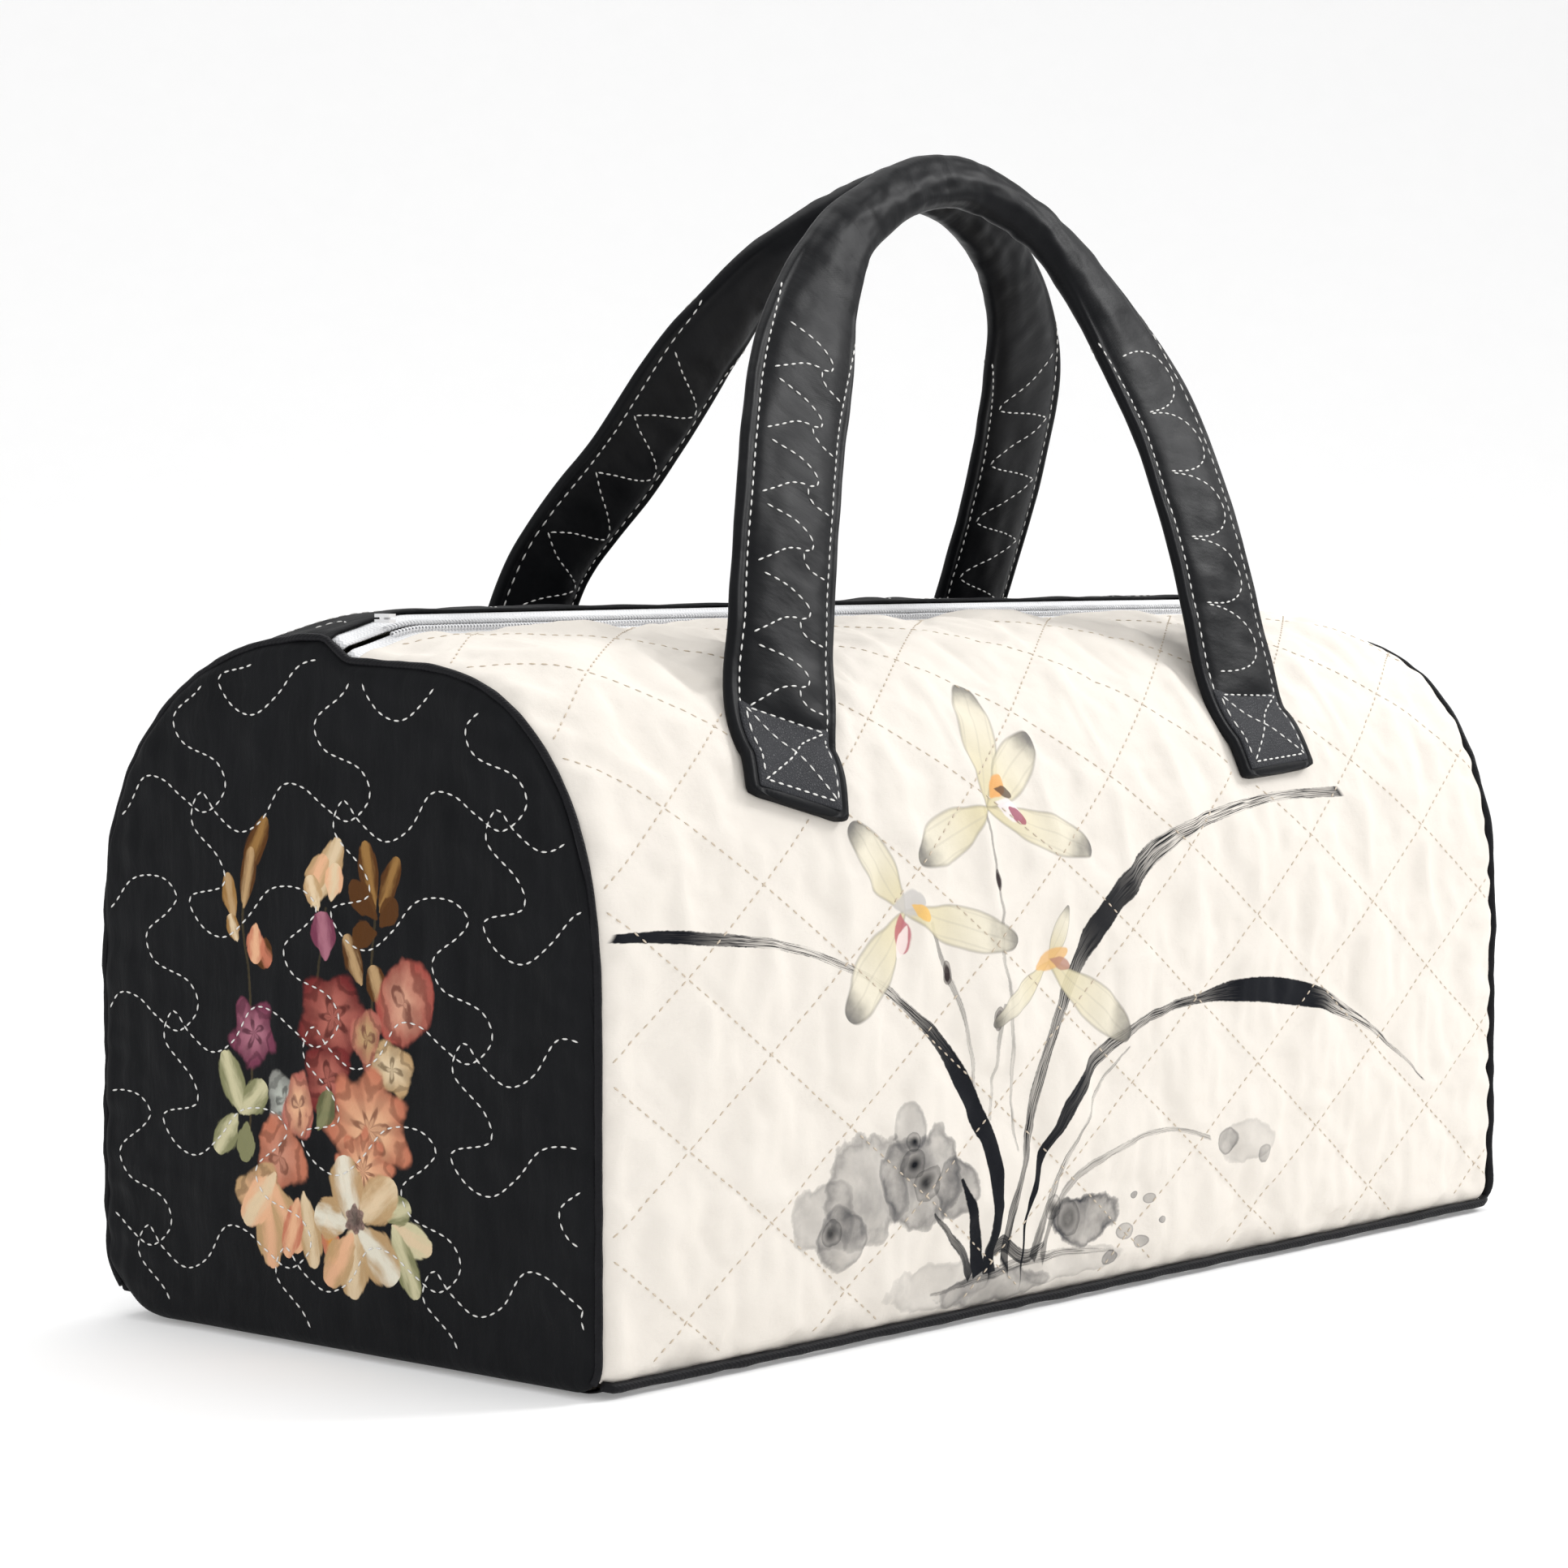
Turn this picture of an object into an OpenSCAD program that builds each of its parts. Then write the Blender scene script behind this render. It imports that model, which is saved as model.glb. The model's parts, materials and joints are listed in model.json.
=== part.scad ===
// Quilted knitting bag: a barrel-topped duffel with a zipped mouth, two carrying
// handles, and the walls built up in layers of face cloth, wadding and lining.
// X runs along the bag, -Y is the pale front, +Y the dark back, Z = 0 is the table.

/* [Bag body] */
// Length of the bag over both end panels
bag_length = 450; // [360:1:560]
// Depth of the bag, front to back, over the seam piping
bag_depth = 210; // [160:1:260]
// Height of the closed body at the zip
body_height = 212; // [170:1:270]
// Height at which the walls start to curve over into the top
shoulder_start = 100; // [80:1:125]
// Radius of the bottom corner along the front
front_corner_r = 10; // [8:1:20]
// Radius of the softer bottom corner along the back
back_corner_r = 26; // [12:1:34]

/* [Cloth layers] */
// Thickness of the outer face cloth
face_t = 1.2; // [0.8:0.1:2]
// Thickness of the quilt wadding, and of the stiffener board in the base
wadding_t = 2.6; // [1.5:0.1:5]
// Thickness of the lining cloth
lining_t = 1.0; // [0.6:0.1:1.6]
// How far the seam piping stands out from the walls, which is also its half width
piping_r = 1.5; // [1:0.1:2.5]

/* [Mouth and zip] */
// Length of the mouth between the closed ends of the zip
mouth_length = 360; // [280:1:380]
// Angle round the shoulder at which the mouth flaps bend
flap_angle = 52; // [48:1:58]
// Gap between the two folded cloth edges that frame the zip
zip_window = 10; // [9:0.5:14]
// Width of each half of the zip tape
tape_w = 15; // [10:0.5:20]
// Thickness of the zip tape
tape_t = 0.6; // [0.4:0.1:1]
// Width of each half of the closed zip coil
coil_w = 2.5; // [2:0.1:3.5]
// Height of the zip coil
coil_h = 2.2; // [1.6:0.1:3]
// Length of the zip slider
slider_length = 10; // [8:0.5:14]
// Width of the zip slider
slider_w = 8; // [7.5:0.5:8.5]
// Thickness of each plate of the slider
slider_plate_t = 1.2; // [0.8:0.1:1.6]
// Distance of the parked slider from the middle of the bag
slider_park = 195; // [188:1:200]
// Length of the zip puller
puller_length = 22; // [16:1:25]
// Radius of the pin that the puller swings on
puller_pin_r = 0.8; // [0.6:0.05:1]

/* [Handles] */
// Width of the carrying straps
strap_w = 40; // [30:1:50]
// Thickness of the padded straps
strap_t = 7; // [5:0.5:10]
// Width of the folded grip at the top of each handle
grip_w = 18; // [14:1:24]
// Thickness of the folded grip at the top of each handle
grip_t = 12; // [9:0.5:14]
// Thickness of the satin cover round the strap padding
cover_t = 1.2; // [0.8:0.1:2]
// Distance between the two legs of a handle, centre to centre
handle_pitch = 225; // [180:1:260]
// Sideways place of the front handle
front_handle_shift = -15; // [-40:1:40]
// Sideways place of the back handle
back_handle_shift = 42; // [-40:1:50]
// Height of the grip above the strap's bending line
handle_rise = 160; // [120:1:200]
// Distance of each grip from the bag's middle plane
grip_offset = 11; // [10:1:30]
// Height at which the sewn end of a strap begins
strap_end_low = 155; // [150:1:160]
// Height at which the sewn end of a strap stops and the strap is free
strap_end_high = 183; // [178:1:185]
// Thickness of the flattened strap end sewn to the wall
strap_end_t = 3.2; // [2:0.1:5]
// Thickness of the leather-look patch over the sewn end
patch_t = 1.0; // [0.6:0.1:1.6]
// Border of strap left showing round the patch
patch_inset = 2.5; // [1:0.5:5]

/* [Hidden] */
$fn = 32;
squareness = 2.5;
step_deg = 3;
slack = 0.3;
layer_gap = 0.1;
wall_t = face_t + wadding_t + lining_t;
half_y = bag_depth / 2 - piping_r;
rise = body_height - shoulder_start;
tube_end = bag_length / 2 - wall_t;
mouth_end = mouth_length / 2;
seam_angle = 45;

// Zip heights, counted down from the top of the closed body
tape_top = body_height - face_t - 0.6;
coil_mid = tape_top - tape_t / 2;
coil_gap = 0.5;
tape_gap = 0.9;
plate_low = coil_mid - coil_h / 2 - slack - slider_plate_t;
plate_top = coil_mid + coil_h / 2 + slack + slider_plate_t;
stop_at = slider_park + slider_length / 2 + 3;
stop_length = 2.7;
pin_z = plate_top + 2.2;
pin_x = slider_park + 1;
pin_clearance = 0.05;
puller_t = 1.6;

// Where each strap bends: clear of its sewn end when it is folded right down
bend_off = strap_end_t + patch_t + slack + strap_t / 2;

CREAM = [0.93, 0.90, 0.85];
BLACK = [0.08, 0.08, 0.09];
SATIN = [0.05, 0.05, 0.06];
CHARCOAL = [0.20, 0.21, 0.23];
WHITE = [0.95, 0.95, 0.95];
FLEECE = [0.88, 0.88, 0.90];
LINEN = [0.80, 0.74, 0.64];
CARD = [0.45, 0.45, 0.47];

// ---- Profile of the front wall, as points [y, z]; the back wall is its mirror ----

// Angle round the shoulder at which the wall reaches height z
function angle_at(z) = asin(pow((z - shoulder_start) / rise, squareness / 2));

// A point on the shoulder at angle t, d below the face
function shoulder(t, d) =
    let (e = 2 / squareness,
         ny = pow(cos(t), 2 - e) / half_y,
         nz = pow(sin(t), 2 - e) / rise,
         n = norm([ny, nz]))
    [-half_y * pow(cos(t), e) + d * ny / n, shoulder_start + rise * pow(sin(t), e) - d * nz / n];

// Outward direction of the shoulder at angle t
function outward(t) = (shoulder(t, -1) - shoulder(t, 0));

// Degrees of shoulder angle that cover a length of cloth near angle t
function degrees_for(len, t) = len / norm(shoulder(t + 0.5, 0) - shoulder(t - 0.5, 0));

// Angles from t0 to t1 in even steps
function sweep(t0, t1) =
    let (n = ceil((t1 - t0) / step_deg)) [for (i = [0 : n]) t0 + (t1 - t0) * i / n];

// A point at angle a round a bottom corner of radius r, d below the face
function corner_point(r, a, d) = [-half_y + r - (r - d) * sin(a), r - (r - d) * cos(a)];

// Bottom corner of radius r, from angle a0 under the bag to the upright wall, d below the face
function corner(r, a0, d) = [for (a = sweep(a0, 90)) corner_point(r, a, d)];

function over(t0, t1, d) = [for (t = sweep(t0, t1)) shoulder(t, d)];

function flipped(pts) = [for (i = [len(pts) - 1 : -1 : 0]) pts[i]];

function mirrored(pts) = [for (p = pts) [-p[0], p[1]]];

// Whole outline of an end panel, d below the face
function outline(d) = concat(
    corner(front_corner_r, 0, d), over(0, 90, d),
    flipped(mirrored(over(0, 90, d))), flipped(mirrored(corner(back_corner_r, 0, d))));

// ---- Shared building modules ----

// Pulls a [y, z] shape out along X
module along_x(x0, x1) {
    translate([x0, 0, 0]) rotate([90, 0, 90]) linear_extrude(x1 - x0) children();
}

module front_or_back(side) {
    if (side < 0) children();
    else mirror([0, 1, 0]) children();
}

// A layer of the wall from the bottom corner up to shoulder angle t1
module wall_layer(side, a0, t1, d0, d1, x0, x1) {
    r = side < 0 ? front_corner_r : back_corner_r;
    front_or_back(side) along_x(x0, x1)
        polygon(concat(corner(r, a0, d0), over(0, t1, d0),
                       flipped(over(0, t1, d1)), flipped(corner(r, a0, d1))));
}

// A layer of the shoulder between two angles
module shoulder_layer(side, t0, t1, d0, d1, x0, x1) {
    front_or_back(side) along_x(x0, x1)
        polygon(concat(over(t0, t1, d0), flipped(over(t0, t1, d1))));
}

// Shoulder angle at which a layer stops short of the middle plane by y
function angle_short(y) = acos(pow(y / half_y, squareness / 2));

// One wall layer of the fixed body: the wall up to the bend, and the closed ends of the top
module fixed_layer(side, a0, d0, d1, short) {
    wall_layer(side, a0, flap_angle, d0, d1, -tube_end, tube_end);
    for (x = [-tube_end, mouth_end + slack])
        shoulder_layer(side, flap_angle, angle_short(short), d0, d1,
                       x, x + tube_end - mouth_end - slack);
}

// One layer of a mouth flap
module flap_layer(side, d0, d1, short) {
    start = flap_angle + degrees_for(slack, flap_angle);
    shoulder_layer(side, start, angle_short(short), d0, d1, -mouth_end, mouth_end);
}

function window_half() = zip_window / 2;

// ---- Fixed body ----

module wall(side) {
    color(side < 0 ? CREAM : BLACK) fixed_layer(side, seam_angle, 0, face_t, window_half());
}

module wall_wadding(side) {
    color(FLEECE) fixed_layer(side, 0, face_t + layer_gap, face_t + wadding_t - layer_gap,
                              tape_gap + tape_w + 1);
}

module wall_lining(side) {
    color(LINEN) fixed_layer(side, 0, face_t + wadding_t, wall_t, window_half() + 1);
}

module base_panel() {
    color(BLACK) along_x(-tube_end, tube_end)
        polygon(concat(
            flipped([for (a = sweep(0, seam_angle)) corner_point(front_corner_r, a, 0)]),
            mirrored([for (a = sweep(0, seam_angle)) corner_point(back_corner_r, a, 0)]),
            flipped(mirrored([for (a = sweep(0, seam_angle)) corner_point(back_corner_r, a, face_t)])),
            [for (a = sweep(0, seam_angle)) corner_point(front_corner_r, a, face_t)]));
}

// A flat layer of the base between the two bottom corners
module base_layer(z0, z1) {
    along_x(-tube_end, tube_end)
        polygon([[-half_y + front_corner_r, z0], [half_y - back_corner_r, z0],
                 [half_y - back_corner_r, z1], [-half_y + front_corner_r, z1]]);
}

module base_board() {
    color(CARD) base_layer(face_t, face_t + wadding_t);
}

module base_lining() {
    color(LINEN) base_layer(face_t + wadding_t, wall_t);
}

// A layer of an end panel, d0 to d1 in from the end of the bag
module end_layer(side, d0, d1) {
    mirror([side < 0 ? 1 : 0, 0, 0])
        along_x(bag_length / 2 - d1, bag_length / 2 - d0) polygon(outline(0));
}

// Cord in the seam between an end panel and the walls, from one bottom corner to the other
module seam_piping(side) {
    color(BLACK) mirror([side < 0 ? 1 : 0, 0, 0])
        for (wall_side = [-1, 1])
            shoulder_piping(wall_side);
}

module shoulder_piping(wall_side) {
    r = wall_side < 0 ? front_corner_r : back_corner_r;
    front_or_back(wall_side) along_x(tube_end - piping_r, tube_end + piping_r)
        polygon(concat([corner_point(r, 90, -piping_r)], over(0, 90, -piping_r),
                       flipped(over(0, 90, -layer_gap)), [corner_point(r, 90, -layer_gap)]));
}

// Cord in the seam between a wall and the base
module base_piping(side) {
    r = side < 0 ? front_corner_r : back_corner_r;
    half_a = asin(piping_r / r);
    color(BLACK) front_or_back(side) along_x(-tube_end + piping_r, tube_end - piping_r)
        polygon(concat(
            [for (a = sweep(seam_angle - half_a, seam_angle + half_a)) corner_point(r, a, -layer_gap)],
            flipped([for (a = sweep(seam_angle - half_a, seam_angle + half_a))
                corner_point(r, a, -piping_r)])));
}

// ---- Zip ----

// A bar beside the middle plane, from y0 to y1 away from it
module zip_bar(side, x0, x1, y0, y1, z0, z1) {
    front_or_back(side) translate([x0, -y1, z0]) cube([x1 - x0, y1 - y0, z1 - z0]);
}

module tape_piece(side, x0, x1) {
    color(WHITE) zip_bar(side, x0, x1, tape_gap, tape_gap + tape_w, tape_top - tape_t, tape_top);
}

// The two rows of coil, one above and one below the tape, joined beyond its edge
module coil_piece(side, x0, x1) {
    color(WHITE) difference() {
        zip_bar(side, x0, x1, coil_gap, coil_gap + coil_w, coil_mid - coil_h / 2, coil_mid + coil_h / 2);
        zip_bar(side, x0 - 1, x1 + 1, tape_gap, coil_gap + coil_w + 1, tape_top - tape_t, tape_top);
    }
}

module zip_tape(side) {
    tape_piece(side, -mouth_end, mouth_end);
}

module zip_coil(side) {
    coil_piece(side, -mouth_end, mouth_end);
}

module zip_tape_ends(side) {
    tape_piece(side, mouth_end + slack, tube_end);
    tape_piece(side, -tube_end, -mouth_end - slack);
}

module zip_coil_ends(side) {
    coil_piece(side, mouth_end + slack, stop_at);
    coil_piece(side, -stop_at, -mouth_end - slack);
}

// Clamp that closes the end of the coil: two plates over the tapes and a web between them
module zip_stop(side) {
    web_half = tape_gap - 0.05;
    color(WHITE) mirror([side < 0 ? 1 : 0, 0, 0]) translate([stop_at, 0, 0]) {
        translate([0, -3, tape_top]) cube([stop_length, 6, 1]);
        translate([0, -3, tape_top - tape_t - 1]) cube([stop_length, 6, 1]);
        translate([0, -web_half, tape_top - tape_t - 0.5]) cube([stop_length, 2 * web_half, tape_t + 1]);
    }
}

// Slider: a plate above and a plate below the coil, a post between, and a lug with its pin
module zip_slider() {
    x0 = slider_park - slider_length / 2;
    post_half = 0.25;
    lug_half = 1;
    color(WHITE) {
        for (z = [plate_low, plate_top - slider_plate_t])
            translate([x0, -slider_w / 2, z]) cube([slider_length, slider_w, slider_plate_t]);
        translate([slider_park, -post_half, plate_low + slider_plate_t / 2])
            cube([slider_length / 2 - 1, 2 * post_half, plate_top - plate_low - slider_plate_t]);
        difference() {
            translate([pin_x - 2, -lug_half, plate_top - slider_plate_t / 2])
                cube([4, 2 * lug_half, pin_z - plate_top + slider_plate_t / 2 + 1.6]);
            translate([pin_x - 3, -lug_half - 1, pin_z + 1.6]) cube([6, 2 * lug_half + 2, 2]);
        }
        translate([pin_x, slider_w / 2 - 0.6, pin_z]) rotate([90, 0, 0])
            cylinder(r = puller_pin_r, h = slider_w - 1.2);
    }
}

// Puller: two eyes on the slider's pin and a flat tongue with a finger hole
module zip_puller() {
    eye_r = puller_pin_r + 1.2;
    arm_in = 1.3;
    arm_out = slider_w / 2 - 0.9;
    color(WHITE) difference() {
        union() {
            for (y = [-arm_out, arm_in]) {
                translate([pin_x, y + arm_out - arm_in, pin_z]) rotate([90, 0, 0])
                    cylinder(r = eye_r, h = arm_out - arm_in);
                translate([pin_x, y, pin_z - puller_t / 2])
                    cube([5, arm_out - arm_in, puller_t]);
            }
            translate([pin_x + 4, -arm_out, pin_z - puller_t / 2])
                cube([puller_length - 7, 2 * arm_out, puller_t]);
            translate([pin_x + puller_length - 3, 0, pin_z - puller_t / 2])
                cylinder(r = arm_out, h = puller_t);
        }
        translate([pin_x, slider_w, pin_z]) rotate([90, 0, 0])
            cylinder(r = puller_pin_r + pin_clearance, h = 2 * slider_w);
        translate([pin_x + puller_length - 3, 0, pin_z - puller_t])
            cylinder(r = 1.4, h = 2 * puller_t);
    }
}

// ---- Handles ----

function shift_of(side) = side < 0 ? front_handle_shift : back_handle_shift;

// Bending line of the straps: [y, z] on the front side
function bend_point() =
    let (t = angle_at(strap_end_high)) shoulder(t, 0) + bend_off * outward(t);

// A layer of a sewn strap end, d0 to d1 out from the wall, following the shoulder
module strap_end_layer(side, leg, d0, d1, inset) {
    x = shift_of(side) + leg * handle_pitch / 2;
    shoulder_layer(side, angle_at(strap_end_low) + degrees_for(inset, angle_at(strap_end_low)),
                   angle_at(strap_end_high), -d1, -d0,
                   x - strap_w / 2 + inset, x + strap_w / 2 - inset);
}

module strap_end(side, leg) {
    color(SATIN) strap_end_layer(side, leg, layer_gap, strap_end_t, 0);
}

module patch(side, leg) {
    color(CHARCOAL) strap_end_layer(side, leg, strap_end_t + layer_gap, strap_end_t + patch_t, patch_inset);
}

// Route of each handle in its own leaning plane: [across, in half pitches; up, in rises]
FRONT_ROUTE = [[-1, 0], [-0.76, 0.32], [-0.47, 0.61], [-0.09, 0.87], [0.44, 1],
               [0.83, 0.9], [1.06, 0.59], [1.06, 0.3], [1, 0]];
BACK_ROUTE = [[-1, 0], [-0.96, 0.22], [-0.79, 0.43], [-0.62, 0.68], [-0.39, 0.87], [0.07, 1],
              [0.56, 0.87], [0.85, 0.64], [0.97, 0.38], [1.01, 0.17], [1, 0]];
route_steps = 5;

// Smooth curve through the route's points
function knot(r, i) =
    i < 0 ? 2 * r[0] - r[1] :
    i > len(r) - 1 ? 2 * r[len(r) - 1] - r[len(r) - 2] : r[i];

function curve_at(r, i, f) =
    let (a = knot(r, i - 1), b = knot(r, i), c = knot(r, i + 1), d = knot(r, i + 2))
    0.5 * (2 * b + f * (c - a) + f * f * (2 * a - 5 * b + 4 * c - d)
           + f * f * f * (3 * b - a - 3 * c + d));

function scaled(p, side) =
    [shift_of(side) + p[0] * handle_pitch / 2, p[1] * slope_length()];

// Length of the leaning plane from the bending line up to the grip
function slope_length() = norm([bend_point()[0] + grip_offset, handle_rise]);

function path(r, side) = concat(
    [for (i = [0 : len(r) - 2])
        for (k = [0 : route_steps - 1])
            scaled(curve_at(r, i, k / route_steps), side)],
    [scaled(r[len(r) - 1], side)]);

function unit(v) = v / norm(v);

// Direction square to the path at point i, in its plane
function square_to(p, i) =
    let (a = p[max(i - 1, 0)], b = p[min(i + 1, len(p) - 1)], t = unit(b - a))
    (i == 0 || i == len(p) - 1) ? [i == 0 ? -1 : 1, 0] : [-t[1], t[0]];

// The strap keeps its full width low down and folds into a round grip at the top
function folded(h) = let (f = max(0, min(1, (h - 0.55) / 0.42))) f * f * (3 - 2 * f);

// One eight-sided ring of the strap; inset is the depth below the cover
function ring(p, i, inset) =
    let (f = folded(p[i][1] / slope_length()),
         a = (strap_w + (grip_w - strap_w) * f) / 2 - inset,
         b = (strap_t + (grip_t - strap_t) * f) / 2 - inset,
         c = min(a, b) * 0.55,
         q = square_to(p, i))
    [for (s = [[a, b - c], [a - c, b], [c - a, b], [-a, b - c],
               [-a, c - b], [c - a, -b], [a - c, -b], [a, c - b]])
        [p[i][0] + q[0] * s[0], s[1], p[i][1] + q[1] * s[0]]];

// Closed tube through all the rings from first to last
module strap_tube(side, r, inset, skip) {
    p = path(r, side);
    last = len(p) - 1 - skip;
    rings = [for (i = [skip : last]) ring(p, i, inset)];
    n = len(rings);
    polyhedron(
        points = [for (g = rings) for (v = g) v],
        faces = concat(
            [[for (k = [7 : -1 : 0]) k]],
            [for (i = [0 : n - 2]) for (k = [0 : 7])
                [i * 8 + k, i * 8 + (k + 1) % 8, (i + 1) * 8 + (k + 1) % 8, (i + 1) * 8 + k]],
            [[for (k = [0 : 7]) (n - 1) * 8 + k]]));
}

// Stands a handle drawn in the XZ plane on its bending line and leans it over the bag
module lean(side) {
    b = bend_point();
    angle = atan2(-b[0] - grip_offset, handle_rise);
    front_or_back(side) translate([0, b[0], b[1]]) rotate([-angle, 0, 0]) children();
}

module handle_cover(side) {
    r = side < 0 ? FRONT_ROUTE : BACK_ROUTE;
    color(SATIN) lean(side) difference() {
        strap_tube(side, r, 0, 0);
        strap_tube(side, r, cover_t, 1);
    }
}

module handle_padding(side) {
    r = side < 0 ? FRONT_ROUTE : BACK_ROUTE;
    color(FLEECE) lean(side) strap_tube(side, r, cover_t, 1);
}

// ---- Nodes ----

module front_wall() { wall(-1); }
module back_wall() { wall(1); }
module left_end_panel() { color(BLACK) end_layer(-1, 0, face_t); }
module right_end_panel() { color(BLACK) end_layer(1, 0, face_t); }
module front_wadding() { wall_wadding(-1); }
module back_wadding() { wall_wadding(1); }
module left_end_wadding() { color(FLEECE) end_layer(-1, face_t, face_t + wadding_t); }
module right_end_wadding() { color(FLEECE) end_layer(1, face_t, face_t + wadding_t); }
module front_lining() { wall_lining(-1); }
module back_lining() { wall_lining(1); }
module left_end_lining() { color(LINEN) end_layer(-1, face_t + wadding_t, wall_t); }
module right_end_lining() { color(LINEN) end_layer(1, face_t + wadding_t, wall_t); }
module flap(side) { color(side < 0 ? CREAM : BLACK) flap_layer(side, 0, face_t, window_half()); }
module flap_wadding(side) {
    color(FLEECE) flap_layer(side, face_t + layer_gap, face_t + wadding_t - layer_gap,
                             tape_gap + tape_w + 1);
}
module flap_lining(side) { color(LINEN) flap_layer(side, face_t + wadding_t, wall_t, window_half() + 1); }

front_wall();
back_wall();
base_panel();
left_end_panel();
right_end_panel();
front_wadding();
back_wadding();
left_end_wadding();
right_end_wadding();
base_board();
front_lining();
back_lining();
left_end_lining();
right_end_lining();
base_lining();
seam_piping(-1);  // left_seam_piping
seam_piping(1);  // right_seam_piping
base_piping(-1);  // front_base_piping
base_piping(1);  // back_base_piping
zip_tape_ends(-1);  // front_zip_tape_ends
zip_tape_ends(1);  // back_zip_tape_ends
zip_coil_ends(-1);  // front_zip_coil_ends
zip_coil_ends(1);  // back_zip_coil_ends
zip_stop(-1);  // left_zip_stop
zip_stop(1);  // right_zip_stop
strap_end(-1, -1);  // front_left_strap_end
strap_end(-1, 1);  // front_right_strap_end
strap_end(1, -1);  // back_left_strap_end
strap_end(1, 1);  // back_right_strap_end
patch(-1, -1);  // front_left_patch
patch(-1, 1);  // front_right_patch
patch(1, -1);  // back_left_patch
patch(1, 1);  // back_right_patch
flap(-1);  // front_flap
flap_wadding(-1);  // front_flap_wadding
flap_lining(-1);  // front_flap_lining
zip_tape(-1);  // front_zip_tape
zip_coil(-1);  // front_zip_coil
flap(1);  // back_flap
flap_wadding(1);  // back_flap_wadding
flap_lining(1);  // back_flap_lining
zip_tape(1);  // back_zip_tape
zip_coil(1);  // back_zip_coil
zip_slider();
zip_puller();
handle_cover(-1);  // front_handle_cover
handle_padding(-1);  // front_handle_padding
handle_cover(1);  // back_handle_cover
handle_padding(1);  // back_handle_padding
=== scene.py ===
import json
import math

import bmesh
import bpy
import numpy as np
from mathutils import Matrix, Vector, noise
from mathutils.bvhtree import BVHTree
from mathutils.kdtree import KDTree


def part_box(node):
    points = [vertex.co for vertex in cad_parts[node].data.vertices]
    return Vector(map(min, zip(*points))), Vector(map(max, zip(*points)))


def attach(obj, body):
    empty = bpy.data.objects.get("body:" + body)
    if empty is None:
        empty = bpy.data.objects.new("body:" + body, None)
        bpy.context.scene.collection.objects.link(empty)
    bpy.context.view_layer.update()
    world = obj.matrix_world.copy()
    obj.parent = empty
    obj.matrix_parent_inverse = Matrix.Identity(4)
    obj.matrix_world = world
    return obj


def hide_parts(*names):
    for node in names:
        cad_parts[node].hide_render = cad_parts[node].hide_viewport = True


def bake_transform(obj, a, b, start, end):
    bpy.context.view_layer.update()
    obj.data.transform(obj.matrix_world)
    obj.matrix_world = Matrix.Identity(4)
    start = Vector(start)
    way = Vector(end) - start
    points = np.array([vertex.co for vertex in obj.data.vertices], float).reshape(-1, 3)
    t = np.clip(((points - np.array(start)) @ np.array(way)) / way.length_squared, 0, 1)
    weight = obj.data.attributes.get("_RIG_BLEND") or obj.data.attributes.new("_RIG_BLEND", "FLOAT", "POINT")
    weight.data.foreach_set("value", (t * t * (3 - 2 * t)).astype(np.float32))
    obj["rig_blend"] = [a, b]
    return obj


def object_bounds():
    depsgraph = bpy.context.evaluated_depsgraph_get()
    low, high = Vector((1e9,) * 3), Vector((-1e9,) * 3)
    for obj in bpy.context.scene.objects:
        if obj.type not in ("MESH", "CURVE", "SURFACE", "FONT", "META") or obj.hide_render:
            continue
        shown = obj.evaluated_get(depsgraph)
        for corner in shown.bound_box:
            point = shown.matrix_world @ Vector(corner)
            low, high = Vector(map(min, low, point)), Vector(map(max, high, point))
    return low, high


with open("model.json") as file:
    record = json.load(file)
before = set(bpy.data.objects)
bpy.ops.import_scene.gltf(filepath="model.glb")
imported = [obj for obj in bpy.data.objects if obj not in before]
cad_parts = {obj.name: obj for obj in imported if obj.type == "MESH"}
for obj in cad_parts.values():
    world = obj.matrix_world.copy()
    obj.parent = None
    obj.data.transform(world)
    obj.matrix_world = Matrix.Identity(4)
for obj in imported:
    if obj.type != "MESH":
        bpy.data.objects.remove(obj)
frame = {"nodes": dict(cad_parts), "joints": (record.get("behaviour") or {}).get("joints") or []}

cad_low, cad_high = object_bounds()

# ---- Camera -------------------------------------------------------------------------
# The bag is seen from its left front corner, a little above the height of its middle,
# with a short telephoto lens that keeps the long side nearly parallel.
camera_azimuth = math.radians(-48.676)
camera_elevation = math.radians(3.3166)
camera_distance = 1.3699
aim = Vector((-0.03144, 0, 0.15488))
away = Vector((math.sin(camera_azimuth) * math.cos(camera_elevation),
               -math.cos(camera_azimuth) * math.cos(camera_elevation),
               math.sin(camera_elevation)))
camera_data = bpy.data.cameras.new("camera")
camera_data.sensor_width = 36
camera_data.lens = 99.24
camera = bpy.data.objects.new("camera", camera_data)
camera.location = aim + away * camera_distance
camera.rotation_euler = away.to_track_quat("Z", "Y").to_euler()
bpy.context.scene.collection.objects.link(camera)
bpy.context.scene.camera = camera


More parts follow.
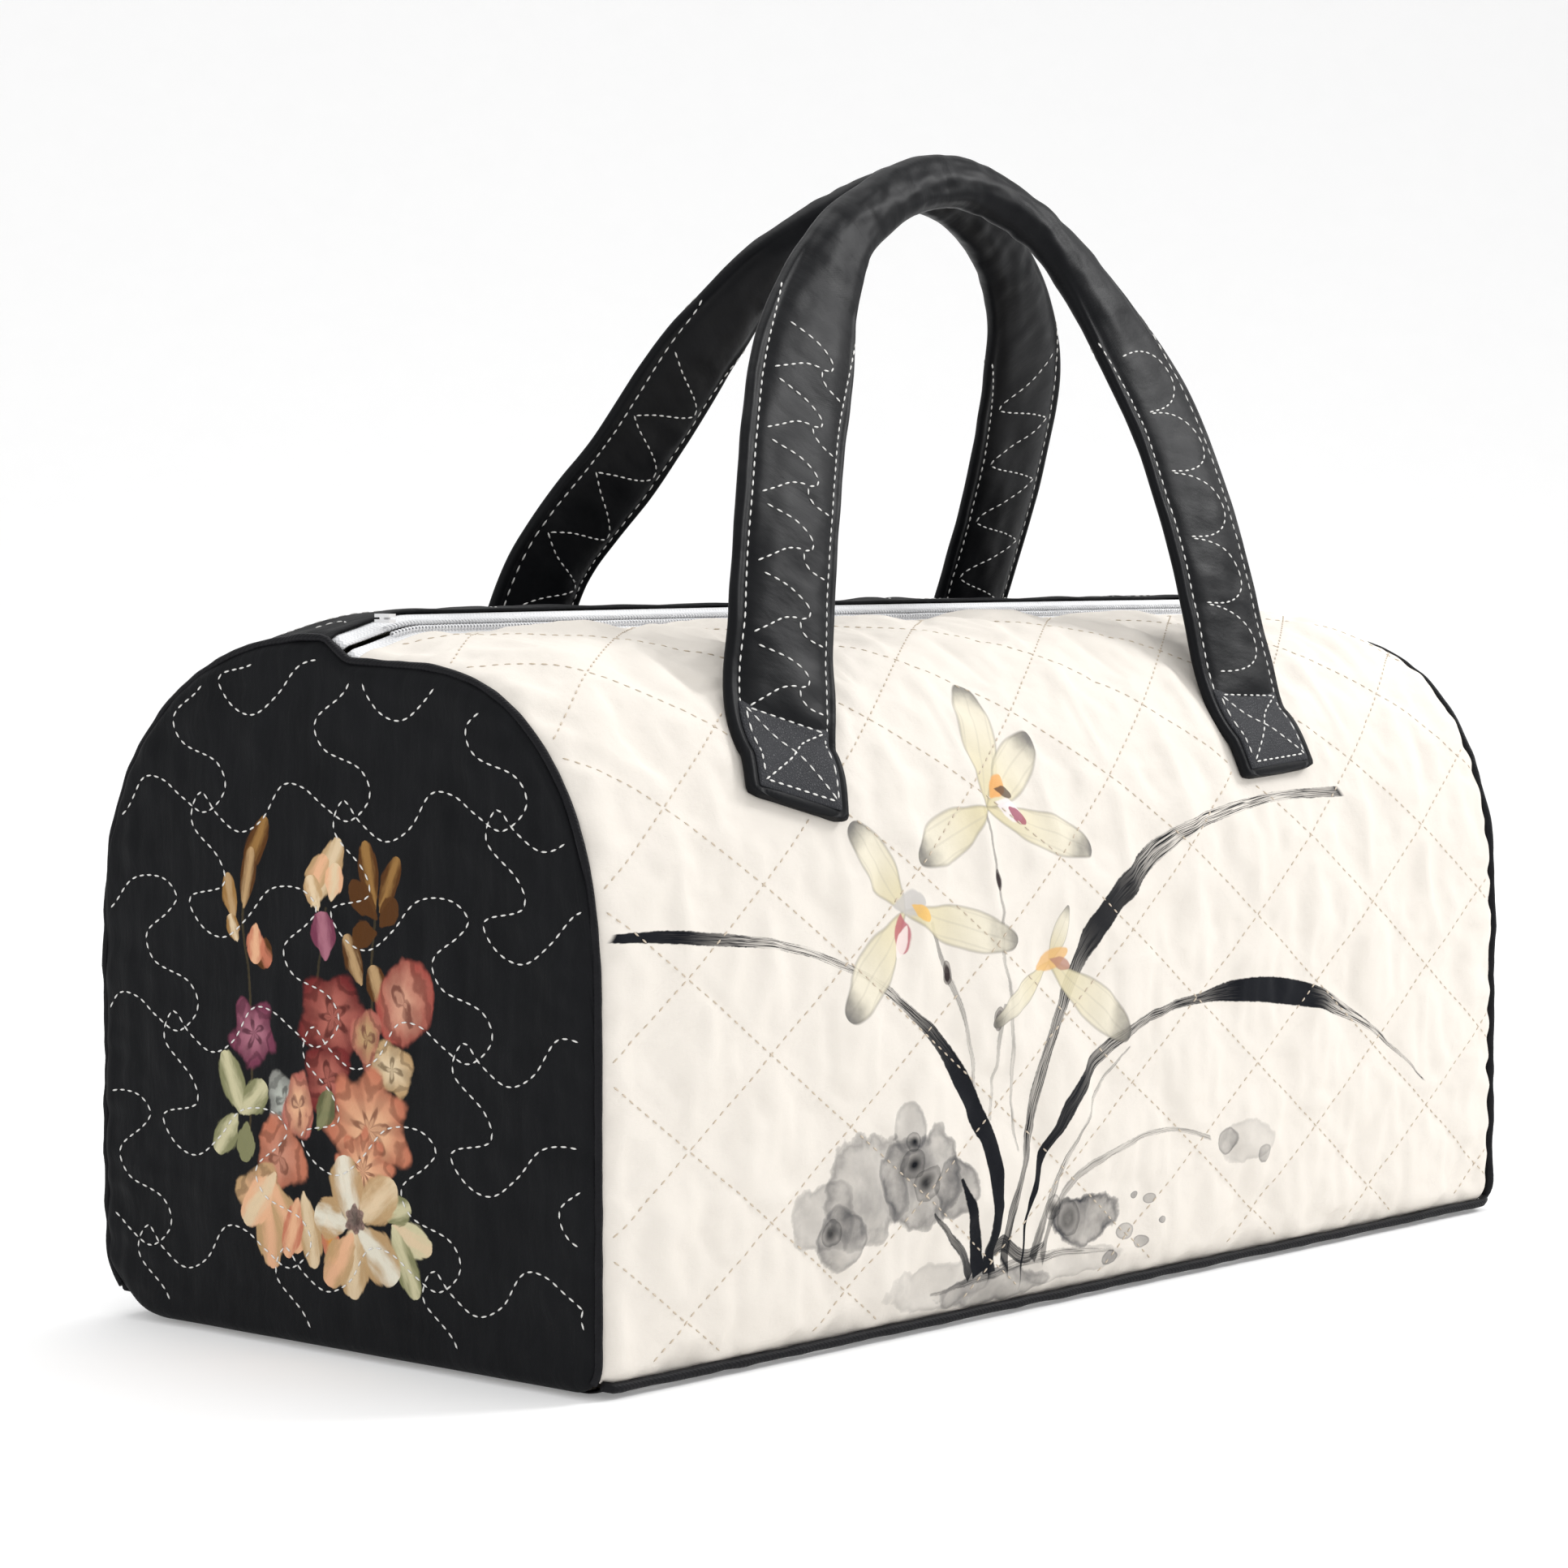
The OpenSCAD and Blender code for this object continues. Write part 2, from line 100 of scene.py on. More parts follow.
# ---- Studio floor and light ---------------------------------------------------------
# A plain pale sweep of paper and soft light from the right, above and the left, as for
# goods on a white table. The small class writes shader sums as plain expressions.
class Sock:
    """A shader value that adds Math nodes when it is used in a sum."""

    def __init__(self, tree, out):
        self.tree = tree
        self.out = out

    def node(self, kind, settings=None, **inputs):
        """The first output of a new node, with its settings, then its socket values or links."""
        made = self.tree.nodes.new(kind)
        for key, value in (settings or {}).items():
            if key == "through":
                line = made.mapping.curves[0].points
                line[0].location = value[0]
                line[1].location = value[-1]
                for spot in value[1:-1]:
                    line.new(*spot)
                made.mapping.update()
            else:
                setattr(made, key, value)
        for key, value in inputs.items():
            socket = made.inputs[int(key[1:])] if key[0] == "_" else made.inputs[key]
            if isinstance(value, Sock):
                self.tree.links.new(value.out, socket)
            else:
                socket.default_value = value
        first = 2 if kind == "ShaderNodeMix" else 0
        return Sock(self.tree, made.outputs[first])

    def math(self, operation, *values):
        numbered = {f"_{i}": v for i, v in enumerate(values)}
        return self.node("ShaderNodeMath", {"operation": operation}, **numbered)

    def __add__(self, other):
        return self.math("ADD", self, other)

    def __radd__(self, other):
        return self.math("ADD", other, self)

    def __sub__(self, other):
        return self.math("SUBTRACT", self, other)

    def __rsub__(self, other):
        return self.math("SUBTRACT", other, self)

    def __mul__(self, other):
        return self.math("MULTIPLY", self, other)

    def __rmul__(self, other):
        return self.math("MULTIPLY", other, self)

    def __truediv__(self, other):
        return self.math("DIVIDE", self, other)

    def __pow__(self, other):
        return self.math("POWER", self, other)

    def size(self):
        return self.math("ABSOLUTE", self)

    def wave(self):
        return self.math("SINE", self)

    def root(self):
        return self.math("SQRT", self)

    def fade(self, low, high):
        """0 below low and 1 above high, or the other way round if high is the smaller."""
        return self.node("ShaderNodeMapRange", {"interpolation_type": "SMOOTHSTEP"},
                         Value=self, _1=low, _2=high)

    def mix(self, a, b):
        """Colour a where this is 0, colour b where it is 1."""
        return self.node("ShaderNodeMix", {"data_type": "RGBA"}, _0=self, _6=a, _7=b)

    def curve(self, *points):
        """A smooth curve through points, both of whose sides run from 0 to 1."""
        return self.node("ShaderNodeFloatCurve", {"through": points}, Value=self)

    def parts(self):
        made = self.node("ShaderNodeSeparateXYZ", None, Vector=self).out.node
        return [Sock(self.tree, out) for out in made.outputs]

    def cloud(self, scale, detail=3.0):
        """Soft noise from 0 to 1 at this place."""
        return self.node("ShaderNodeTexNoise", None, Vector=self, Scale=scale, Detail=detail)

    def point(self, x, y, z=0.0):
        return self.node("ShaderNodeCombineXYZ", None, X=x, Y=y, Z=z)

    def place(self, scale=1.0, kind="Object"):
        """The piece's own coordinates in metres, or its UV map, times scale."""
        source = self.node("ShaderNodeTexCoord").out.node.outputs[kind]
        return self.node("ShaderNodeVectorMath", {"operation": "SCALE"},
                         _0=Sock(self.tree, source), Scale=scale)


def finish_of(name, build, **uniform):
    """A material: uniform numbers sit on the shader, and build returns what varies and the relief."""
    made = bpy.data.materials.new(name)
    made.use_nodes = True
    tree = made.node_tree
    shader = tree.nodes["Principled BSDF"]
    for key, value in uniform.items():
        shader.inputs[key.replace("_", " ")].default_value = value
    varying, height, depth = build(Sock(tree, None))
    for key, value in varying.items():
        tree.links.new(value.out, shader.inputs[key.replace("_", " ")])
    if height is not None:
        bump = Sock(tree, None).node("ShaderNodeBump", None, Height=height, Distance=depth)
        tree.links.new(bump.out, shader.inputs["Normal"])
    return made


def add_piece(name, bm, look):
    """Turns a finished bmesh into a smooth object at the origin with one material."""
    data = bpy.data.meshes.new(name)
    bm.to_mesh(data)
    bm.free()
    data.polygons.foreach_set("use_smooth", [True] * len(data.polygons))
    made = bpy.data.objects.new(name, data)
    bpy.context.scene.collection.objects.link(made)
    data.materials.append(look)
    return made


def paper(s):
    fibre = s.place(1.0).cloud(30.0)
    return {"Base_Color": fibre.mix((0.83, 0.83, 0.83, 1), (0.86, 0.86, 0.86, 1))}, None, 0


sweep = bmesh.new()
bmesh.ops.create_grid(sweep, x_segments=2, y_segments=40, size=6)
face_camera = Matrix.Rotation(camera_azimuth, 3, "Z")
for v in sweep.verts:
    behind = max(0.0, v.co.y - 2.2)
    v.co.z = 0.28 * behind * behind
    v.co = face_camera @ v.co
white_paper = finish_of("paper", paper, Roughness=0.9, Emission_Color=(1, 1, 1, 1), Emission_Strength=0.22)
floor = add_piece("studio_floor", sweep, white_paper)
floor.location.z = -0.0003

world = bpy.data.worlds.new("studio")
bpy.context.scene.world = world
world.use_nodes = True
world.node_tree.nodes["Background"].inputs[0].default_value = (1.0, 1.0, 1.0, 1)
world.node_tree.nodes["Background"].inputs[1].default_value = 0.80
bpy.context.scene.view_settings.view_transform = "Standard"


def soft_light(name, where, size, power):
    data = bpy.data.lights.new(name, "AREA")
    data.shape = "DISK"
    data.size = size
    data.energy = power
    made = bpy.data.objects.new(name, data)
    made.location = where
    made.rotation_euler = (Vector(where) - Vector((0, 0, 0.12))).to_track_quat("Z", "Y").to_euler()
    bpy.context.scene.collection.objects.link(made)


soft_light("key", (1.5, -0.9, 1.35), 0.7, 25)
soft_light("top", (0.3, 0.4, 1.9), 1.6, 16)
soft_light("left_fill", (-1.8, -0.7, 0.9), 1.2, 5)

# ---- Front wall ---------------------------------------------------------------------
# The pale front is cotton sateen quilted to its wadding in diamonds, then printed with
# an ink orchid. It is cut flat and bent over the shoulder up to the zip, so a point of
# cloth is named by its place along the bag and its height up the cloth from the base.
end_low, end_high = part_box("left_end_panel")
fold_low, fold_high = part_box("front_flap")
half_length = cad_high.x
half_depth = -end_low.y
body_top = end_high.z
mouth_end = fold_high.x
zip_gap = -fold_high.y
shoulder_start = 0.100
top_rise = body_top - shoulder_start
squareness = 2.5
wall_names = {-1: "front", 1: "back"}
corner_radius = {-1: 0.010, 1: 0.026}
end_drop = 0.006
lip_drop, lip_reach = 0.0066, 0.075
belly = 0.0025
face_thickness = 0.0012


def ease(t):
    t = np.clip(t, 0, 1)
    return t * t * (3 - 2 * t)


def dip(across):
    """How far the cloth sinks towards the front lip of the mouth; across is + at the back."""
    slope = ease((across + lip_reach) / (lip_reach - 0.009))
    return lip_drop * slope * np.clip((zip_gap - across) / (2 * zip_gap), 0, 1)


def outline(side):
    """One wall from its base seam to the middle of the top, as (y, z) and length along it."""
    r = corner_radius[side]
    a = np.radians(np.linspace(45, 90, 12))
    low = np.stack([-half_depth + r - r * np.sin(a), r - r * np.cos(a)], 1)
    z = np.linspace(r, shoulder_start, 30)[1:-1]
    upright = np.stack([np.full_like(z, -half_depth), z], 1)
    t = np.radians(np.linspace(0, 90, 240))
    share = 2 / squareness
    over = np.stack([-half_depth * np.cos(t) ** share, shoulder_start + top_rise * np.sin(t) ** share], 1)
    line = np.concatenate([low, upright, over])
    return line, np.concatenate([[0], np.cumsum(np.hypot(*np.diff(line, axis=0).T))])


outlines = {side: outline(side) for side in (-1, 1)}


def on_wall(side, flat, deep=0.0):
    """Where points of cloth (x, s) lie, deep below the face, and which way they look."""
    x, s = np.atleast_2d(flat).T
    line, arc = outlines[side]
    y, z = np.interp(s, arc, line[:, 0]), np.interp(s, arc, line[:, 1])
    ahead, behind = np.minimum(s + 0.0015, arc[-1]), np.maximum(s - 0.0015, 0)
    ty = np.interp(ahead, arc, line[:, 0]) - np.interp(behind, arc, line[:, 0])
    tz = np.interp(ahead, arc, line[:, 1]) - np.interp(behind, arc, line[:, 1])
    size = np.hypot(ty, tz)
    ny, nz = -tz / size, ty / size
    lift = ease((z - shoulder_start) / top_rise)
    swell = belly * (1 - (x / half_length) ** 2) * ease(z / 0.05) * (1 - 0.8 * lift)
    to_end = half_length - np.abs(x)
    out = swell - deep - 0.0028 * ease(1 - to_end / 0.008)
    z = z + nz * out - end_drop * ease(1 - to_end / 0.034) * lift ** 2
    across = -side * (y + ny * out)
    spots = np.stack([x, across, z - dip(across)], 1)
    return spots, np.stack([np.zeros_like(x), -side * ny, nz], 1)


def cloth(name, across, up, where, look, turned=False):
    """A sheet with a vertex at each crossing of two sets of lines, laid by where(flat)."""
    bm = bmesh.new()
    nx, ny = len(across) - 1, len(up) - 1
    bmesh.ops.create_grid(bm, x_segments=nx, y_segments=ny, size=1)
    corners = np.array([v.co for v in bm.verts])
    flat = np.stack([np.array(across)[np.rint((corners[:, 0] + 1) / 2 * nx).astype(int)],
                     np.array(up)[np.rint((corners[:, 1] + 1) / 2 * ny).astype(int)]], 1)
    for v, spot in zip(bm.verts, where(flat)):
        v.co = spot
    layer = bm.loops.layers.uv.new("cloth")
    for face in bm.faces:
        for loop in face.loops:
            loop[layer].uv = flat[loop.vert.index]
    if turned:
        bmesh.ops.reverse_faces(bm, faces=bm.faces[:])
    return add_piece(name, bm, look), flat


def soften(piece, levels):
    """Rounds a piece by subdividing it."""
    soft = piece.modifiers.new("soft", "SUBSURF")
    soft.levels = levels
    soft.render_levels = levels


def thicken(piece, thickness, levels=0):
    """Gives a cloth its thickness inwards, and rounds it with subdivision."""
    shell = piece.modifiers.new("thickness", "SOLIDIFY")
    shell.thickness = thickness
    shell.offset = -1
    if levels:
        soften(piece, levels)


def ripple(spots, scale, seed, octaves=2):
    """Smooth noise about 0 at each place, with its own scale along each axis, in metres."""
    offset = Vector((seed, seed * 0.37, 0))
    return np.array([noise.fractal(Vector(p) + offset, 1.0, 2.0, octaves)
                     for p in np.asarray(spots) / np.asarray(scale)])


def spots_of(piece):
    return np.array([v.co for v in piece.data.vertices])


def move_to(piece, spots):
    piece.data.vertices.foreach_set("co", spots.ravel())
    piece.data.update()


def plump(piece, sewn, pressure, spare, cap, frames=14):
    """Lets quilted cloth swell between its sewn vertices, as the wadding pushes it out."""
    rest = spots_of(piece)
    group = piece.vertex_groups.new(name="sewn")
    group.add([int(i) for i in np.flatnonzero(sewn)], 1.0, "REPLACE")
    swell = piece.modifiers.new("swell", "CLOTH")
    sheet = swell.settings
    sheet.quality = 4
    sheet.mass = 0.1
    sheet.tension_stiffness = 15
    sheet.compression_stiffness = 15
    sheet.shear_stiffness = 8
    sheet.bending_stiffness = 0.05
    sheet.vertex_group_mass = "sewn"
    sheet.shrink_min = -spare
    sheet.use_pressure = True
    sheet.uniform_pressure_force = pressure
    sheet.effector_weights.gravity = 0
    swell.collision_settings.use_collision = False
    for count in range(1, frames + 1):
        bpy.context.scene.frame_set(count)
    settled = piece.evaluated_get(bpy.context.evaluated_depsgraph_get())
    step = np.array([v.co for v in settled.data.vertices]) - rest
    piece.modifiers.remove(swell)
    piece.vertex_groups.remove(group)
    bpy.context.scene.frame_set(1)
    length = np.linalg.norm(step, axis=1, keepdims=True)
    step *= np.minimum(1, cap / np.maximum(length, 1e-9))
    move_to(piece, rest + step)


def shift(piece, amount):
    """Moves each vertex along its own normal by its amount."""
    ways = np.array([v.normal for v in piece.data.vertices])
    move_to(piece, spots_of(piece) + ways * amount[:, None])


def joint_at(name):
    return Vector(next(j["pos_m"] for j in frame["joints"] if j["name"] == name))


def bend_with_mouth(piece, side):
    """Cloth above the shoulder turns with the mouth flap, less and less towards the zip's ends."""
    crease = joint_at(f"{wall_names[side]}_flap_bend")
    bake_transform(piece, "bag", f"{wall_names[side]}_flap_body", start=crease - Vector((0, -side * 0.006, 0.002)),
             end=crease + Vector((0, -side * 0.026, 0.009)))
    weight = piece.data.attributes["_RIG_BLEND"].data
    for v, share in zip(piece.data.vertices, weight):
        share.value *= float(ease((mouth_end - abs(v.co.x)) / (0.68 * mouth_end)))


# Two families of slanting seams cross at the corners of flat diamonds.
diamond_wide, diamond_high = 0.067, 0.0475
diamond_x, diamond_s = -0.190, 0.015
wall_top = outlines[-1][1][-1] - zip_gap
face_end = half_length - 0.0012


def diamond_lines(flat):
    """How far each point of cloth is from the nearest diamond seam."""
    u, v = (flat[:, 0] - diamond_x) / diamond_wide, (flat[:, 1] - diamond_s) / diamond_high
    lean = diamond_wide * diamond_high / math.hypot(diamond_wide, diamond_high)
    return np.minimum(*[np.abs(w - np.rint(w)) * lean for w in (u + v, u - v)])


def stepped(low, high, start, step):
    """Lines step apart that pass through start, closed by a line at each edge."""
    first = math.ceil((low + step * 0.4 - start) / step)
    last = math.floor((high - step * 0.4 - start) / step)
    return [low] + [start + step * i for i in range(first, last + 1)] + [high]


def brush(s, x, z, route, widths, dry, seed, load):
    """Ink laid by a brush along a route in mm: widths and dryness from its start to its end."""
    route = np.array(route, float)
    length = float(np.hypot(*(route[-1] - route[0])))
    ax, az = (route[-1] - route[0]) / length
    p = ((x - float(route[0][0])) * float(ax) + (z - float(route[0][1])) * float(az)) / length
    q = (z - float(route[0][1])) * float(ax) - (x - float(route[0][0])) * float(az)
    local = [((r @ (ax, az)) / length, r @ (-az, ax)) for r in route - route[0]]
    spread = 160.0
    centre = (p.curve(*[(float(a), float(0.5 + b / spread)) for a, b in local]) - 0.5) * spread
    steps = np.linspace(0, 1, len(widths))
    wide = p.curve(*[(float(a), w / 10) for a, w in zip(steps, widths)]) * 10
    d = q - centre
    grain = s.point(p * (length / 60), d / (wide + 0.4) * 1.6, seed).cloud(5.0, 4.0)
    dryness = p.curve(*[(float(a), w) for a, w in zip(np.linspace(0, 1, len(dry)), dry)])
    rough = s.point(p * length, d, seed).cloud(0.9) - 0.5
    body = (wide - d.size() + rough * 0.7).fade(-0.15, 0.35) * p.fade(-0.01, 0.0) * p.fade(1.01, 1.0)
    return body * (1 - dryness * grain.fade(0.40, 0.56)) * load


def teardrop(x, z, base, tip, wide):
    """A petal from base to tip in mm: its cover, and how far along and across it a point is."""
    (bx, bz), (tx, tz) = base, tip
    length = math.hypot(tx - bx, tz - bz)
    ax, az = (tx - bx) / length, (tz - bz) / length
    along = ((x - bx) * ax + (z - bz) * az) / length
    across = ((z - bz) * ax - (x - bx) * az) / wide
    edge = along.curve((0, 0.12), (0.2, 0.55), (0.55, 1), (0.85, 0.72), (1, 0.0))
    outside = along.fade(0.0, -0.06) + along.fade(1.0, 1.06)
    return edge - across.size() - outside * 2, along, across


marks = []
plate_budget, plate_smallest = 400, 30
stroke_strength, wash_strength = 1.06, 1.25


def mark(spots, margin, cost, lay):
    """Keeps one mark of a print: the boxes in mm that it reaches, its cost, and how it is laid."""
    spots = np.array(spots, float)
    ends = np.stack([spots[:-1], spots[1:]])
    marks.append((ends.min(0) - margin, ends.max(0) + margin, cost, lay))


def plates(low, high, chosen):
    """Cuts a print into plates, each with few enough marks for one material."""
    here = [m for m in chosen if ((m[0] < high).all(1) & (m[1] > low).all(1)).any()]
    size = np.subtract(high, low)
    if sum(cost for _, _, cost, _ in here) <= plate_budget or size.max() < plate_smallest:
        return [(low, high, here)] if here else []
    cut = int(size[1] > size[0])
    middle = (low[cut] + high[cut]) / 2
    lower, upper = list(high), list(low)
    lower[cut] = upper[cut] = middle
    return plates(low, lower, here) + plates(upper, high, here)


def print_on(piece, name, ground, low, high, **uniform):
    """Gives each plate of the print its own material, over a ground cloth that runs on beneath."""
    cut = plates(low, high, marks)
    for i, (_, _, chosen) in enumerate(cut):
        def plate(s, chosen=chosen):
            made, relief, depth = ground(s)
            x, z, _ = s.place(1000.0, "UV").parts()
            wobble = s.point(x, z).cloud(0.09, 4.0) - 0.5
            paint = made["Base_Color"]
            for _, _, _, lay in chosen:
                paint = lay(s, x, z, wobble, paint)
            made["Base_Color"] = paint
            return made, relief, depth
        piece.data.materials.append(finish_of(f"{name}_{i}", plate, **uniform))
    layer = piece.data.uv_layers["cloth"].data
    for face in piece.data.polygons:
        spot = np.mean([layer[i].uv for i in face.loop_indices], axis=0) * 1000
        for i, (start, stop, _) in enumerate(cut):
            if (spot >= start).all() and (spot < stop).all():
                face.material_index = i + 1
    marks.clear()


def wash(cx, cz, rx, rz, load, tone=(0.035, 0.037, 0.045, 1), soft=0.14):
    """A pool of thin ink that dries darker at its rim."""
    def lay(s, x, z, wobble, paint):
        reach = (((x - cx) / rx) ** 2.0 + ((z - cz) / rz) ** 2.0).root() + wobble * 1.1
        pool = reach.fade(1.0, 1.0 - soft) * (0.62 + wobble * 1.3)
        rim = reach.fade(0.66, 0.95) * reach.fade(1.0, 0.95) * 0.3
        return ((pool + rim) * (load * wash_strength)).mix(paint, tone)
    mark([(cx - rx, cz - rz), (cx + rx, cz + rz)], 4, 20, lay)


def stroke(route, widths, dry, seed, load, tone):
    """One brush stroke; the long ones stand further off the straight line between their points."""
    def lay(s, x, z, wobble, paint):
        return (brush(s, x, z, route, widths, dry, seed, load) * stroke_strength).mix(paint, tone)
    mark(route, 7 if len(route) > 4 else 4, 50, lay)


def petal(base, tip, wide):
    """A pale tinted petal with fine veins, an ink outline and a smudged tip."""
    def lay(s, x, z, wobble, paint):
        cover, along, across = teardrop(x, z, base, tip, wide)
        vein = (across * 9.0 + along * 2.0).wave().fade(0.82, 1.0) * 0.22
        tint = along.fade(0.0, 0.75).mix((0.62, 0.55, 0.34, 1), (0.70, 0.65, 0.52, 1))
        tint = vein.mix(tint, (0.36, 0.33, 0.26, 1))
        smudge = (along + wobble * 0.35).fade(0.72, 1.02) * 0.93
        tint = smudge.mix(tint, (0.045, 0.045, 0.05, 1))
        paint = (cover.fade(0.0, 0.12) * 0.86).mix(paint, tint)
        edge = cover.fade(-0.04, 0.05) * cover.fade(0.2, 0.06) * 0.34
        return edge.mix(paint, (0.10, 0.09, 0.08, 1))
    mark([base, tip], wide + 1, 60, lay)


def dab(base, tip, wide, tint):
    """A small touch of thick colour at the heart of a flower."""
    def lay(s, x, z, wobble, paint):
        cover, along, across = teardrop(x, z, base, tip, wide)
        return ((cover + wobble * 0.9).fade(0.0, 0.25) * 0.85).mix(paint, tint)
    mark([base, tip], wide + 1, 26, lay)


def ink_orchid():
    """Marks of an orchid in ink: washes, stems, long leaves, and three pale flowers."""
    ink, thin, knot = (0.006, 0.007, 0.010, 1), (0.05, 0.05, 0.06, 1), (0.035, 0.025, 0.025, 1)
    for spot in ((-92, 44, 20, 15, 0.62), (-116, 44, 20, 16, 0.50), (-136, 38, 13, 11, 0.36),
                 (-128, 31, 11, 9, 0.55), (-97, 60, 7, 8, 0.38), (-76, 40, 9, 10, 0.6),
                 (-12, 23, 19, 8, 0.75), (-56, 7, 26, 6, 0.5), (-80, 11, 26, 8, 0.26),
                 (-20, 10, 30, 5, 0.26), (72, 38, 13, 7, 0.24), (62, 39, 5, 4, 0.6), (80, 33, 4, 3, 0.5)):
        wash(*spot)
    for cx, cz, r in ((-96, 49, 5.5), (-90, 43, 6), (-132, 33, 4), (-20, 24, 6), (-28, 28, 4),
                      (-97, 56, 3)):
        wash(cx, cz, r, r, 1.1, ink, 0.9)
    for cx, cz, r in ((10, 16, 2.4), (18, 12, 2.0), (22, 25, 1.6), (14, 27, 1.3), (27, 18, 1.2),
                      (2, 9, 2.4)):
        wash(cx, cz, 1.8 * r, r, 0.6, thin)
    stems = [([(-54, 150), (-53, 129), (-53, 106), (-50, 75), (-48, 48)], (0.9, 1.0, 0.8, 0.8, 0.7), 0.6),
             ([(-85, 118), (-78, 103), (-70, 82), (-65, 60), (-62, 50)], (0.9, 1.2, 0.8, 0.8, 0.7), 0.65),
             ([(-55, 92), (-57, 84), (-58, 72), (-60, 58)], (1.6, 0.9, 0.8, 0.6), 0.55)]
    for i, (route, widths, load) in enumerate(stems):
        stroke(route, widths, (0.2, 0.5, 0.8, 0.6), 11.0 + i, load, (0.03, 0.03, 0.03, 1))
    for cx, cz in ((-53, 129), (-78, 103), (-58, 88)):
        wash(cx, cz, 1.8, 3.4, 1.5, knot, 0.5)
    leaves = [([(-57, 14), (-58, 40), (-72, 70), (-98, 95), (-135, 112), (-178, 120), (-217, 123)],
               (3.0, 4.2, 3.0, 1.6, 1.3, 1.6, 2.2, 1.6), (0, 0, 0.05, 0.6, 0.95, 0.9, 0.1, 0), 0.97),
              ([(-50, 14), (-44, 45), (-30, 80), (-9, 109), (24, 132), (70, 144), (132, 147)],
               (3.0, 2.2, 2.6, 4.2, 3.4, 2.4, 1.9, 2.4), (0, 0.5, 0.5, 0, 0.5, 0.95, 0.9, 0.1), 0.93),
              ([(-42, 14), (-36, 42), (-18, 64), (12, 80), (50, 86), (88, 85), (126, 76), (174, 49)],
               (2.2, 3.4, 1.8, 1.6, 4.0, 4.4, 1.8, 0.5), (0, 0.1, 0.6, 0.3, 0, 0, 0.95, 0.4), 0.96),
              ([(-37, 14), (-24, 40), (-6, 62), (9, 74)], (1.8, 1.4, 1.0, 0.4), (0, 0.7, 0.9, 0.6), 0.75),
              ([(-33, 14), (-22, 32), (0, 42), (28, 46), (52, 41)], (2.0, 1.4, 1.1, 0.9, 1.0),
               (0, 0.5, 0.7, 0.8, 0.5), 0.6),
              ([(-62, 12), (-66, 26), (-74, 42)], (3.2, 2.4, 0.6), (0, 0, 0), 0.95),
              ([(-66, 12), (-74, 22), (-86, 33)], (2.4, 1.6, 0.5), (0, 0.2, 0.2), 0.9),
              ([(-58, 12), (-57, 30), (-62, 50)], (2.6, 1.6, 0.3), (0, 0, 0.3), 0.9),
              ([(-84, 9), (-60, 11), (-30, 14), (4, 11)], (0.5, 1.6, 1.4, 0.4), (0.6, 0.5, 0.9, 0.9), 0.7),
              ([(-60, 14), (-52, 20), (-42, 15), (-32, 18)], (2.0, 3.0, 2.4, 0.8), (0, 0.2, 0.3, 0.8), 0.9)]
    for i, (route, widths, dry, load) in enumerate(leaves):
        stroke(route, widths, dry, 3.0 + i, load, ink)
    flowers = [((-52, 150), [((-37, 193), 7.5), ((-19, 172), 7.5), ((-89, 137), 7.5), ((-5, 135), 6.5)]),
               ((-97, 122), [((-115, 149), 7.0), ((-46, 110), 6.5), ((-125, 93), 8.0)]),
               ((-30, 103), [((-21, 119), 3.0), ((-60, 86), 3.6), ((9, 77), 6.5)])]
    for centre, petals in flowers:
        for tip, wide in petals:
            petal(centre, tip, wide)
    hearts = [((-50, 153), (-41, 160), 3.4, (0.72, 0.34, 0.10, 1)),
              ((-47, 156), (-38, 154), 2.0, (0.08, 0.05, 0.04, 1)),
              ((-48, 152), (-36, 147), 3.4, (0.78, 0.72, 0.72, 1)),
              ((-42, 150), (-35, 145), 2.4, (0.30, 0.05, 0.10, 1)),
              ((-102, 124), (-88, 125), 4.6, (0.50, 0.48, 0.46, 1)),
              ((-99, 122), (-98, 110), 4.0, (0.42, 0.10, 0.13, 1)),
              ((-94, 124), (-86, 119), 2.2, (0.75, 0.45, 0.12, 1)),
              ((-96, 118), (-101, 109), 2.6, (0.80, 0.70, 0.66, 1)),
              ((-38, 101), (-22, 106), 3.2, (0.70, 0.42, 0.16, 1)),
              ((-30, 104), (-20, 101), 2.2, (0.42, 0.22, 0.16, 1))]
    for base, tip, wide, tint in hearts:
        dab(base, tip, wide, tint)


def cream_sateen(s):
    """Fine pale sateen with faint slubs, and a weave of about thirty threads to the cm."""
    where = s.place(1000.0, "UV")
    x, z, _ = where.parts()
    tone = where.cloud(0.03).mix((0.70, 0.655, 0.595, 1), (0.76, 0.715, 0.655, 1))
    weave = (x * 19.0).wave() * (z * 19.0).wave()
    slub = s.point(x * 0.25, z * 3.0).cloud(2.0, 2.0)
    crease = where.cloud(0.22, 4.0)
    return {"Base_Color": tone, "Roughness": slub.fade(0.0, 1.0) * 0.12 + 0.62}, \
        weave * 0.012 + slub * 0.05 + crease * 0.28, 0.001


cream_feel = dict(Specular_IOR_Level=0.08)
cream_cloth = finish_of("cream_sateen", cream_sateen, **cream_feel)
front_face, front_flat = cloth(
    "front_wall_cloth",
    stepped(-face_end, face_end, diamond_x, diamond_wide / 20),
    stepped(0.0, wall_top, diamond_s, diamond_high / 20),
    lambda flat: on_wall(-1, flat)[0], cream_cloth)
ink_orchid()
print_on(front_face, "orchid_print", cream_sateen, (-230.0, -5.0), (190.0, 205.0), **cream_feel)
seam_distance = diamond_lines(front_flat)
edge_distance = np.minimum(face_end - np.abs(front_flat[:, 0]),
                           np.minimum(front_flat[:, 1], wall_top - front_flat[:, 1]))

